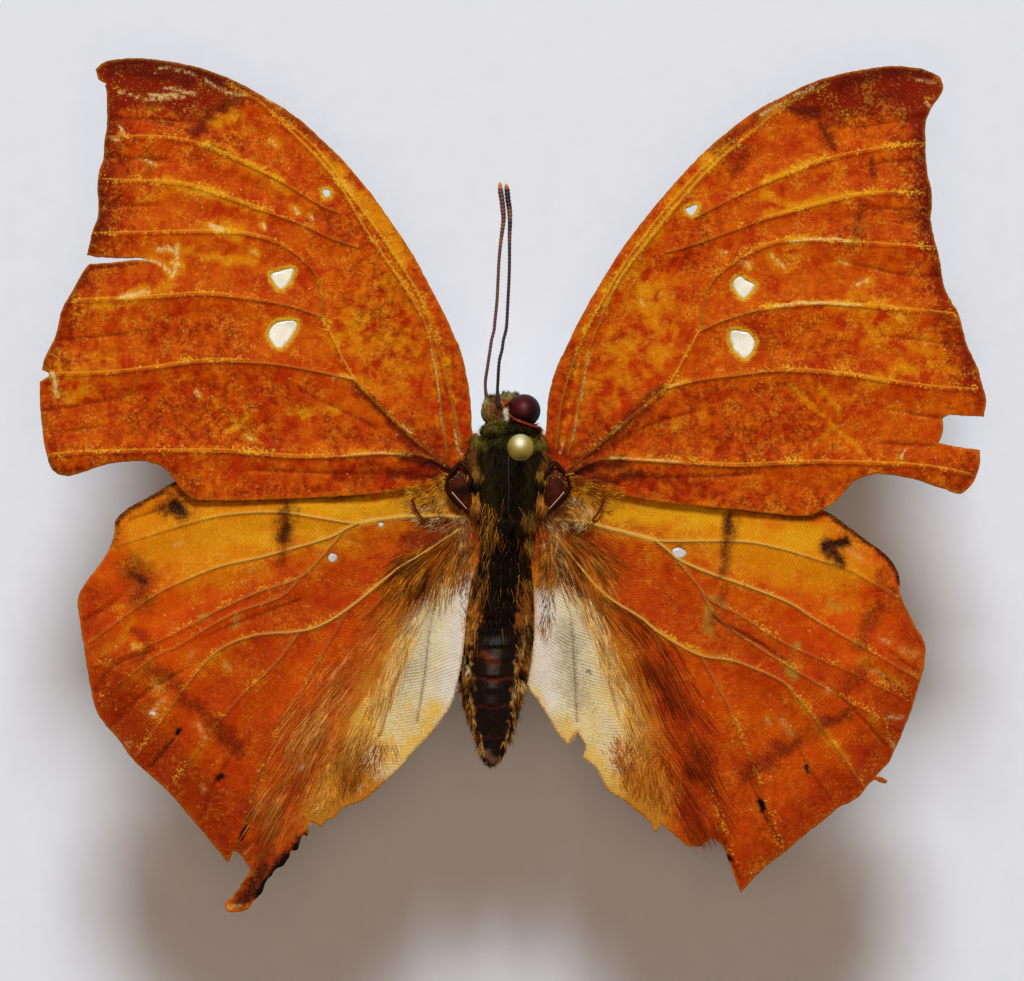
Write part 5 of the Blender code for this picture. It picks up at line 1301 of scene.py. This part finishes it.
def makeBody():
    skin = makeSkin()
    places = placesOf(skin)
    row = rowOf(places)
    paintTone(skin, bodyTones(places))
    plates = np.zeros(len(places))
    for middle, height, radii in bodyShape["lobes"][2:4]:
        centre = np.array((*onGrid(middle)[0], bodyShape["height"] + height))
        far = np.linalg.norm((places - centre) / radii, axis=1)
        plates = np.maximum(plates, 1 - softStep(far, 0.9, 1.25))
    unwrapAround(skin, places)
    mesh = skin.data
    normals = np.empty(len(mesh.vertices) * 3, np.float32)
    mesh.vertex_normals.foreach_get("vector", normals)
    normals = normals.reshape(-1, 3)
    shell = softStep(row, 626, 650) * softStep(normals[:, 2], 0.62, 0.82)
    paint(skin, "gloss", np.clip(plates + shell, 0, 1))

    # short fur: it lies to the rear, stands up at the collar, thins on the abdomen's shell
    coat = newObject("coat", mesh.copy())
    front = 1 - softStep(row, 414, 424)
    across = places[:, 0] + 0.3
    back = np.column_stack((0.25 * np.sign(across) * softStep(np.abs(across), 0.2, 2.0), -1.0 + 1.7 * front,
                            np.zeros(len(places))))
    along = back - normals * (back * normals).sum(axis=1)[:, None]
    lie = along + normals * (0.28 + 0.2 * (1 - softStep(row, 436, 450)))[:, None]
    thorax = 1 - softStep(row, 610, 640)
    limb = 1 - softStep(places[:, 2], 18.9, 19.6)
    length = 0.45 + 0.55 * thorax - 0.35 * limb + 0.35 * softStep(row, 600, 650) * (1 - shell)
    length = np.where(row < 420, 0.5, np.where(row < 440, 0.8, length))
    thick = np.clip(1.0 - 0.9 * shell - plates - 0.4 * limb, 0, 1)
    paint(coat, "lie", lie)
    paint(coat, "long", length)
    paint(coat, "thick", thick)
    growCoat("body_fur", coat, "thorax_fur", makeFurMaterial("short_fur", 0.9, 0.0, 1.0, 0.6),
             Density=56.0, Seed=5, Length=0.48, Width=0.06, Bend=0.5, Spread=0.35, Uneven=0.45)
    for look in fringes:
        makeFringe(look, mesh, places, normals, row)
    mesh.materials.append(makeSkinMaterial())
    settle(skin, bodyNodes)

    eye, tree, shader = newMaterial("eye_gloss", roughness=0.42, specular=0.12)
    facets = addNode(tree, "ShaderNodeTexVoronoi", {"Vector": millimetres(tree), "Scale": 16.0})
    dress(tree, shader, layerOf(tree, "tone", "Color"), facets.outputs["Distance"], 0.15, 0.01)
    for name, (middle, height, radius) in bodyShape["eyes"].items():
        centre = onGrid(middle)[0]
        globe = ball((*centre, bodyShape["headHeight"] + height), [radius] * 3, 48, 32)
        piece = joined(name + "_globe", [globe])
        # the eye's dark maroon, with a painted reflection on its upper left and painted shade at its bottom
        # and lower right
        paintLightOnBall(piece, centre, radius, eyeColourAndPaintedLight)
        piece.data.materials.append(eye)
        settle(piece, [name])
    print("body ready")


makeBody()

# Long hair on the hindwings and tufts at the wings' roots
strawTones = (222,186,104, 238,216,150, 196,138,56, 234,208,138, 176,116,42, 240,228,180)
silkEnds = (206,150,56, 226,180,84, 184,116,36, 232,194,104, 196,132,44)
amberTones = (104,34,4, 196,88,6, 226,138,24, 70,24,6, 206,98,8, 86,28,4)
rustTones = (172,94,26, 206,130,48, 226,162,78, 164,82,20, 212,140,56, 152,72,18)
emberTones = (126,38,5, 158,54,7, 176,68,12, 112,34,5, 158,58,8, 102,30,5)
furTones = (96,40,12, 150,76,22, 176,100,36, 70,34,12, 130,66,20, 50,26,10)
padTones = (110,40,12, 222,186,112, 90,30,12, 238,218,166, 160,86,30, 84,28,12, 206,150,64, 96,34,14)
plumeTones = (196,112,30, 60,26,10, 216,160,76, 110,46,14, 226,190,120, 80,32,12)
tuftTones = (50,18,6, 196,104,16, 80,28,8, 230,156,44, 40,14,6, 204,112,18, 100,40,8)
ochreTones = (70,32,10, 190,112,30, 46,22,8, 212,142,50, 100,48,14)
napTones = (196,126,36, 222,166,66, 170,98,24, 230,182,88, 200,132,40, 156,86,22)
goldTones = (222,146,24, 130,54,8, 234,176,52, 106,34,6)
crestTones = (222,150,50, 236,190,96, 190,110,30)
# left side: rings and roots stand on the grid, colours run across the hairs, ends are their colours far out;
# width and length in millimetres, hairs per square millimetre
meadows = (
    {"name": "stream", "root": (476,505), "edge": 40, "density": 130, "length": 1.9, "lift": 0.05,
     "bend": 0.05, "spread": 0.07, "streak": 20, "palette": amberTones, "ends": rustTones,
     "rightEnds": emberTones, "width": 0.045, "ring": (468,530, 440,540, 400,560, 355,612, 318,660, 285,712,
     256,790, 250,850, 290,838, 312,800, 338,750, 360,706, 385,662, 412,618, 448,578)},
    {"name": "silk", "root": (468,500), "edge": 14, "density": 130, "length": 1.6, "lift": 0.09, "bend": 0.08,
     "spread": 0.09, "streak": 20, "palette": strawTones, "ends": silkEnds, "width": 0.045, "ring": (452,560,
     432,585, 408,615, 384,660, 360,705, 344,742, 352,756, 376,740, 392,702, 414,655, 436,606, 456,580)},
    {"name": "nap", "root": (440,500), "edge": 16, "density": 190, "length": 0.6, "lift": 0.14, "bend": 0.3,
     "spread": 0.35, "streak": 8, "palette": napTones, "width": 0.05, "wave": 1.2, "rightEnds": (174,94,20,
     200,122,34, 148,66,12, 210,138,48, 162,80,18), "ring": (404,752, 374,788, 340,810, 312,832, 302,826,
     300,786, 324,744, 352,722, 384,728)},
    {"name": "tuft", "root": (474,505), "edge": 14, "density": 110, "length": 1.7, "lift": 0.14, "bend": 0.15,
     "spread": 0.12, "streak": 24, "palette": tuftTones, "width": 0.06, "wave": 0.7, "ring": (470,528,
     446,530, 420,540, 398,556, 384,584, 404,604, 430,590, 458,590, 474,570)},
    {"name": "pad", "root": (470,470), "edge": 12, "density": 130, "length": 0.6, "lift": 0.4, "bend": 0.5,
     "spread": 0.5, "streak": 18, "palette": padTones, "wave": 3.0, "ring": (474,500, 446,490, 416,496,
     408,512, 420,526, 446,536, 474,532)},
    {"name": "plume", "root": (458,440), "edge": 6, "density": 90, "length": 0.9, "lift": 0.3, "bend": 0.3,
     "spread": 0.3, "streak": 40, "palette": plumeTones, "width": 0.05, "wave": 1.0, "ring": (476,506,
     464,510, 456,526, 452,545, 448,570, 460,590, 474,560)},
    {"name": "flank", "root": (470,380), "edge": 6, "density": 130, "length": 0.9, "lift": 0.25, "bend": 0.3,
     "spread": 0.3, "streak": 60, "palette": ochreTones, "wave": 1.0, "width": 0.05, "ring": (478,530,
     466,545, 459,585, 461,625, 472,640, 480,600)},
    {"name": "seam", "root": (474,420), "edge": 3, "density": 260, "length": 0.7, "lift": 0.2, "bend": 0.3,
     "spread": 0.25, "streak": 40, "palette": ochreTones, "raise": 0.5, "ring": (466,476, 473,472, 478,488,
     479,512, 471,512, 468,494)},
    {"name": "shoulder", "root": (496,400), "edge": 4, "density": 240, "length": 0.8, "lift": 0.3,
     "bend": 0.4, "spread": 0.3, "streak": 30, "palette": furTones, "raise": 0.2, "wave": 1.0, "width": 0.05,
     "ring": (472,434, 482,438, 482,474, 470,476, 463,466, 468,448)},
    {"name": "crest", "root": (459,440), "edge": 2, "density": 320, "length": 0.22, "lift": 0.3, "bend": 0.4,
     "spread": 0.5, "streak": 30, "palette": crestTones, "raise": 0.62, "width": 0.05, "ring": (454,473,
     459,471, 466,474, 467,478, 460,478, 454,477)},
    {"name": "sweep", "root": (462,476), "edge": 6, "density": 130, "length": 0.8, "lift": 0.08, "bend": 0.15,
     "spread": 0.25, "streak": 30, "palette": goldTones, "raise": 0.5, "width": 0.04, "ring": (452,474,
     436,476, 410,482, 388,490, 398,498, 424,497, 450,490)},
)
onlyLeft = (
    {"name": "hem_left", "root": (420,560), "edge": 4, "density": 90, "length": 0.42, "lift": 0.05,
     "bend": 0.2, "spread": 0.3, "streak": 12, "width": 0.045, "palette": (214,204,178, 240,232,208,
     216,190,120), "ring": (470,600, 466,640, 461,676, 453,702, 440,722, 414,750, 388,776, 360,796, 352,790,
     384,764, 410,738, 432,712, 446,694, 454,664, 458,620)},
    {"name": "tail_hair", "root": (330,760), "edge": 5, "density": 60, "length": 0.6, "lift": 0.12,
     "bend": 0.2, "spread": 0.3, "streak": 10, "width": 0.05, "palette": (100,48,18, 164,98,42, 50,24,12,
     176,118,60, 34,16,10), "ring": (306,806, 280,822, 262,846, 250,868, 244,884, 256,892, 272,872, 290,850,
     304,834)},
)
onlyRight = (
    {"name": "hem_right", "root": (590,560), "edge": 4, "density": 90, "length": 0.42, "lift": 0.05,
     "bend": 0.2, "spread": 0.3, "streak": 12, "width": 0.045, "palette": (206,192,162, 232,222,196,
     200,170,104), "ring": (534,600, 533,640, 529,680, 540,702, 556,726, 584,756, 612,790, 650,818, 654,806,
     620,778, 594,748, 566,716, 548,696, 540,664, 540,620)},
)
rearSqueeze = {"from": 540, "over": 260, "by": 0.17}   # the right hindwing is narrower to the rear
hairNet = 0.35   # spacing of the nets that this hair grows from, in millimetres


def mirrored(points, wide=2):
    # left grid places, with or without a height, on the right side
    made = np.reshape(points, (-1, wide)).astype(float)
    narrow = 1 - rearSqueeze["by"] * np.clip((made[:, 1] - rearSqueeze["from"]) / rearSqueeze["over"], 0, 1)
    made[:, 0] = drawing["bodyLine"] + (drawing["bodyLine"] - made[:, 0]) * narrow
    return made


def growMeadow(meadow, side, seed):
    wingName = ("forewing_" if "raise" in meadow else "hindwing_") + side
    wing = wings[wingName]
    ring = closedRing(meadow["ring"], hairNet)
    places, triangles = netInside(ring, [], [], hairNet)
    if "raise" not in meadow:
        triangles = triangles[insideRing(places[triangles].mean(axis=1), ringOf(wing["outline"], 0.3))]
    middle, half = surfaces[wingName](places, wingLay["thickness"] / 2)
    mesh = bpy.data.meshes.new(meadow["name"])
    height = middle + half + meadow.get("raise", -0.02)
    mesh.from_pydata(np.column_stack((places, height)).tolist(), [], triangles.tolist())
    anchor = newObject(meadow["name"], mesh)
    out = places - onGrid(meadow["root"])[0]
    far = np.hypot(out[:, 0], out[:, 1])
    angle = np.arctan2(out[:, 1], out[:, 0])
    wave = (cloud(places, 1.6, seed) - 0.5) * meadow.get("wave", 0.5)
    lie = np.column_stack((np.cos(angle + wave), np.sin(angle + wave), np.full(len(places), meadow["lift"])))
    across = np.column_stack((angle * meadow["streak"], far * 0.12))
    share = softStep(0.65 * cloud(across, 0.5, seed + 1) + 0.35 * cloud(across, 0.16, seed + 2), 0.27, 0.73)
    tone = paletteTones(meadow["palette"], share)
    ends = meadow.get("rightEnds" if side == "right" else "ends", meadow.get("ends"))
    if ends:
        outer = softStep(far, 4, 15)[:, None]
        tone = tone * (1 - outer) + paletteTones(ends, share) * outer
    edge = meadow["edge"] * gridStep
    fade = softStep(distanceTo(places, looped(ring), edge)[0], 0, edge)
    paintTone(anchor, tone)
    paint(anchor, "lie", lie)
    inner = softStep(distanceTo(places, ringOf(wing["outline"], 0.3), 1.6)[0], 0.1, 1.5)
    paint(anchor, "long", (0.75 + 0.5 * cloud(places, 0.8, seed + 3)) * (0.4 + 0.6 * inner))
    paint(anchor, "thick", np.maximum(fade, 0.12) * (0.55 + 0.9 * cloud(across, 0.35, seed + 4)))
    low, high = np.array(cadLow.xy / toMetres), np.array(cadHigh.xy / toMetres)
    mapSkin(mesh, ((places - low) / (high - low))[cornersOf(mesh)])
    growCoat("hair_" + meadow["name"], anchor, "hindwings", longHair, Density=float(meadow["density"]),
             Seed=seed, Length=meadow["length"], Width=meadow.get("width", 0.07), Bend=meadow["bend"],
             Spread=meadow["spread"], Uneven=0.4, Parts=3)


for number, meadow in enumerate(meadows):
    growMeadow(dict(meadow, name=meadow["name"] + "_left"), "left", 101 + 7 * number)
    growMeadow(dict(meadow, name=meadow["name"] + "_right", root=mirrored(meadow["root"]),
                    ring=mirrored(meadow["ring"])), "right", 301 + 7 * number)
for side, few in (("left", onlyLeft), ("right", onlyRight)):
    for number, meadow in enumerate(few):
        growMeadow(meadow, side, 501 + 7 * number)

# Wing hinges: domed dark plates
plateRing = (459,468, 467,476, 471,490, 471,508, 460,503, 449,492, 450,480)
plateLook = {"tone": (24, 7, 4), "light": (80, 28, 8), "height": 24.72, "dome": 0.30, "thickness": 0.08}


def makePlates():
    look = plateLook
    made, tree, shader = newMaterial("hinge_shell", roughness=0.5, specular=0.03)
    grain = noiseOn(tree, millimetres(tree), 0.9, 3.0)
    tone = mixed(tree, ramp(tree, grain, 0.4, 0.65), colour(*look["tone"]), colour(*look["light"]))
    dress(tree, shader, tone)
    for name, ring in (("wing_plate_left", plateRing), ("wing_plate_right", mirrored(plateRing))):
        loop = closedRing(ring, 0.12)
        middle = loop.mean(axis=0)
        size = np.linalg.norm(loop - middle, axis=1).max()

        def dome(places, half):
            far = np.linalg.norm(places - middle, axis=1) / size
            return look["height"] + look["dome"] * (1 - far ** 2), half

        piece = sheetMesh(name, loop, [], [], 0.13, dome, look["thickness"])[0]
        piece.data.materials.append(made)
        settle(piece)


makePlates()

# Struts of the hinges with painted highlights along them, shoulder sticks, a pale line painted along the
# back's seam as its highlight, and the hairs round the eye
rods = {
    # screen colour, roughness, radius, mirrored or not, runs as x, y and height over the floor in turn
    "wing_struts": ((38, 13, 7), 0.4, 0.13, True, (
        (461,462,25.1, 454,470,25.1, 448,479,25.0, 447,489,24.95, 456,500,24.95, 468,513,24.9),
        (461,462,25.1, 468,470,25.3, 472,480,25.3), (447,489,24.8, 452,499,24.75, 462,509,24.7))),
    # pale lines painted along the struts as their highlights
    "wing_strut_highlights": ((214, 160, 120), 0.3, 0.035, True, ((452,492,25.12, 458,499,25.12, 467,509,25.08),)),
    "shoulder_sticks": ((104, 38, 14), 0.5, 0.10, True, ((412,499,24.65, 416,510,24.5, 424,521,24.3),)),
    # a pale line along the back's seam, painted as its highlight
    "back_seam_highlight": ((84, 90, 78), 0.35, 0.010, False, (
        (508.5,456,25.95, 508.5,470,26.07, 508.8,490,25.99, 508.5,512,25.7),)),
    "eye_rim_pale": ((190, 112, 72), 0.5, 0.022, False, (
        (500,401,24.1, 505,408,24.2, 510,415,24.25, 518,421,24.35),
        (514,418,24.4, 524,423,24.4, 536,426,24.2, 541,428,24.0))),
    "eye_rim_red": ((150, 50, 14), 0.7, 0.024, False, [
        (511 + k, 417 + 0.36 * k + 1.3 * (k % 3), 24.3, 514 + k, 418 + 0.36 * k + 1.6 * (k % 2), 24.45,
         518 + k, 421 + 0.36 * k - 1.5 * (k % 2), 24.25) for k in range(22)]),
    "brow_hairs": ((140, 66, 22), 0.6, 0.025, False, [
        (501 + 0.8 * k, 409 - 0.6 * k, 23.9, 503 + 0.8 * k, 404 - 0.6 * k, 24.0,
         506 + 0.8 * k, 401.5 - 0.6 * k, 23.8) for k in range(10)]),
}


def makeRods(name, tone, roughness, radius, both, runs):
    runs = [np.reshape(run, (-1, 3)) for run in runs]
    if both:
        runs += [mirrored(run, 3) for run in runs]
    piece = joined(name, [tubeAround(np.column_stack((onGrid(run[:, :2]), run[:, 2])),
                                     radius * np.linspace(1.1, 0.7, len(run)), 8, 0.12) for run in runs])
    made, tree, shader = newMaterial(name, roughness=roughness, specular=0.08)
    shader.inputs["Base Color"].default_value = colour(*tone)
    piece.data.materials.append(made)
    settle(piece)


for rodName, rod in rods.items():
    makeRods(rodName, *rod)


# Antennae: beaded shafts with slim clubs
feelers = {
    "antenna_left": {
        "line": (490,404, 487.5,400, 485.5,390, 485.5,380, 487,370, 488.5,360, 490,350, 491.5,340, 494,330,
                 495,320, 497,300, 498,280, 499,260, 501,240, 503.5,220, 503,210, 502,200, 500.5,190,
                 500,182),
        "heights": (0.55, 0.9), "tone": (92, 52, 40)},
    "antenna_right": {
        "line": (499,406, 498,400, 497.5,390, 498,380, 498.5,370, 499.5,360, 502,350, 503.5,340, 506,330,
                 507,320, 508,300, 509,280, 509.5,260, 509.5,240, 510,220, 509.5,210, 508,200, 507,190,
                 506,184),
        "heights": (1.25, 1.85), "tone": (46, 26, 30)},
    "radius": 0.105, "clubRadius": 0.175, "clubFrom": 0.78, "beads": 62,
    "tip": (196, 120, 44), "blotch": (150, 92, 44),
}


def makeFeelers():
    for name in ("antenna_left", "antenna_right"):
        feeler = feelers[name]
        flat = onGrid(feeler["line"])
        share = np.linspace(0, 1, len(flat))
        low, high = feeler["heights"]
        height = bodyShape["headHeight"] + low + (high - low) * softStep(share, 0.0, 0.3)
        radius = feelers["radius"] + (feelers["clubRadius"] - feelers["radius"]) * softStep(
            share, feelers["clubFrom"] - 0.12, feelers["clubFrom"] + 0.08)
        radius = radius * np.where(share > 0.97, 0.5, 1.0) * np.where(share < 0.06, 1.6, 1.0)

        def beads(t):
            return 1 + 0.13 * softStep(t, 0.05, 0.2) * np.sin(t * 2 * math.pi * feelers["beads"])

        shaft = tubeAround(np.column_stack((flat, height)), radius, 12, 0.045, beads)
        piece = joined(name + "_beads", [shaft])
        places = placesOf(piece)
        row = rowOf(places)
        tone = laidOver(plainTone(feeler["tone"], len(places)), feelers["tip"], 1 - softStep(row, 185, 190))
        blotch = 0.5 * softStep(cloud(places[:, :2], 0.5, 9), 0.5, 0.8) * (1 - softStep(row, 240, 260))
        paintTone(piece, laidOver(tone, feelers["blotch"], blotch))
        made, tree, shader = newMaterial(name + "_shell", roughness=0.45, specular=0.35)
        dress(tree, shader, layerOf(tree, "tone", "Color"))
        piece.data.materials.append(made)
        settle(piece, [name])


makeFeelers()

# Pin and block
mounting = {"pearlAt": (520.3, 448.6), "pearlHeight": 39.4, "pearlRadius": 0.85}


def makeMounting():
    steel, tree, shader = newMaterial("black_steel", roughness=0.35, specular=0.5)
    shader.inputs["Base Color"].default_value = colour(60, 60, 64)
    shader.inputs["Metallic"].default_value = 0.9
    painted, tree, shader = newMaterial("block_paint", roughness=0.7, specular=0.3)
    grain = noiseOn(tree, millimetres(tree), 0.9, 6.0)
    dress(tree, shader, mixed(tree, grain, colour(212, 209, 200), colour(228, 226, 218)), grain, 0.3, 0.05)
    for name, made in (("stand_pin", steel), ("stand_base", painted)):
        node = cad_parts[name]
        node.data.materials.clear()
        node.data.materials.append(made)
    pearl, tree, shader = newMaterial("pearl", roughness=0.5, specular=0.15)
    dress(tree, shader, layerOf(tree, "tone", "Color"))
    centre = onGrid(mounting["pearlAt"])[0]
    radius = mounting["pearlRadius"]
    piece = joined("pearl_head", [ball((*centre, mounting["pearlHeight"]), [radius] * 3, 48, 32)])
    # the pearl's olive, with a painted highlight and lighter top, and painted shade at its bottom and left
    # side
    paintLightOnBall(piece, centre, radius, pearlColourAndPaintedLight)
    piece.data.materials.append(pearl)
    settle(piece, ["stand_pin_head"])


makeMounting()


# Floor, light and camera
studio = {
    "floor": (222, 223, 226), "paper": (0.985, 1.015), "floorSide": 1.2,
    "key": {"from": (0.0, 1.02, 1.46), "wide": 0.42, "high": 0.45, "watts": 31.4, "tone": (0.80, 0.90, 1.0)},
    "fill": {"from": (0.0, 0.0, 1.5), "wide": 0.40, "high": 0.40, "watts": 4.4, "tone": (1.0, 0.72, 0.55)},
    "sky": (0.16, 0.13, 0.105),
    "cameraOver": 600.0, "wingPlane": 24.5, "imageSize": (1024, 981), "sensor": 36.0,
}


def makeStudio():
    mesh = bpy.data.meshes.new("floor")
    work = bmesh.new()
    bmesh.ops.create_grid(work, x_segments=8, y_segments=8, size=studio["floorSide"] / 2)
    work.to_mesh(mesh)
    work.free()
    floor = newObject("floor", mesh)
    made, tree, shader = newMaterial("pale_paper", roughness=0.9, specular=0.1)
    paper = noiseOn(tree, millimetres(tree), 0.6, 6.0)
    dark, light = ([min(255, c * share) for c in studio["floor"]] for share in studio["paper"])
    dress(tree, shader, mixed(tree, paper, colour(*dark), colour(*light)))
    mesh.materials.append(made)

    for name in ("key", "fill"):
        given = studio[name]
        lamp = bpy.data.lights.new(name, "AREA")
        lamp.shape = "RECTANGLE"
        lamp.size, lamp.size_y = given["wide"], given["high"]
        lamp.energy, lamp.color = given["watts"], given["tone"]
        made = newObject(name, lamp)
        made.location = given["from"]
        made.rotation_euler = (-Vector(given["from"])).to_track_quat("-Z", "Y").to_euler()

    world = bpy.data.worlds.new("studio")
    bpy.context.scene.world = world
    world.use_nodes = True
    world.node_tree.nodes["Background"].inputs[0].default_value = (*studio["sky"], 1.0)
    bpy.context.scene.view_settings.view_transform = "Standard"

    camera = newObject("camera", bpy.data.cameras.new("camera"))
    wide, high = studio["imageSize"]
    camera.data.sensor_width = studio["sensor"]
    camera.data.lens = studio["sensor"] * studio["cameraOver"] / (wide * gridStep)
    centre = (*onGrid((wide / 2, high / 2))[0], studio["cameraOver"] + studio["wingPlane"])
    camera.location = Vector(centre) * toMetres
    bpy.context.scene.camera = camera


makeStudio()
print("studio ready")
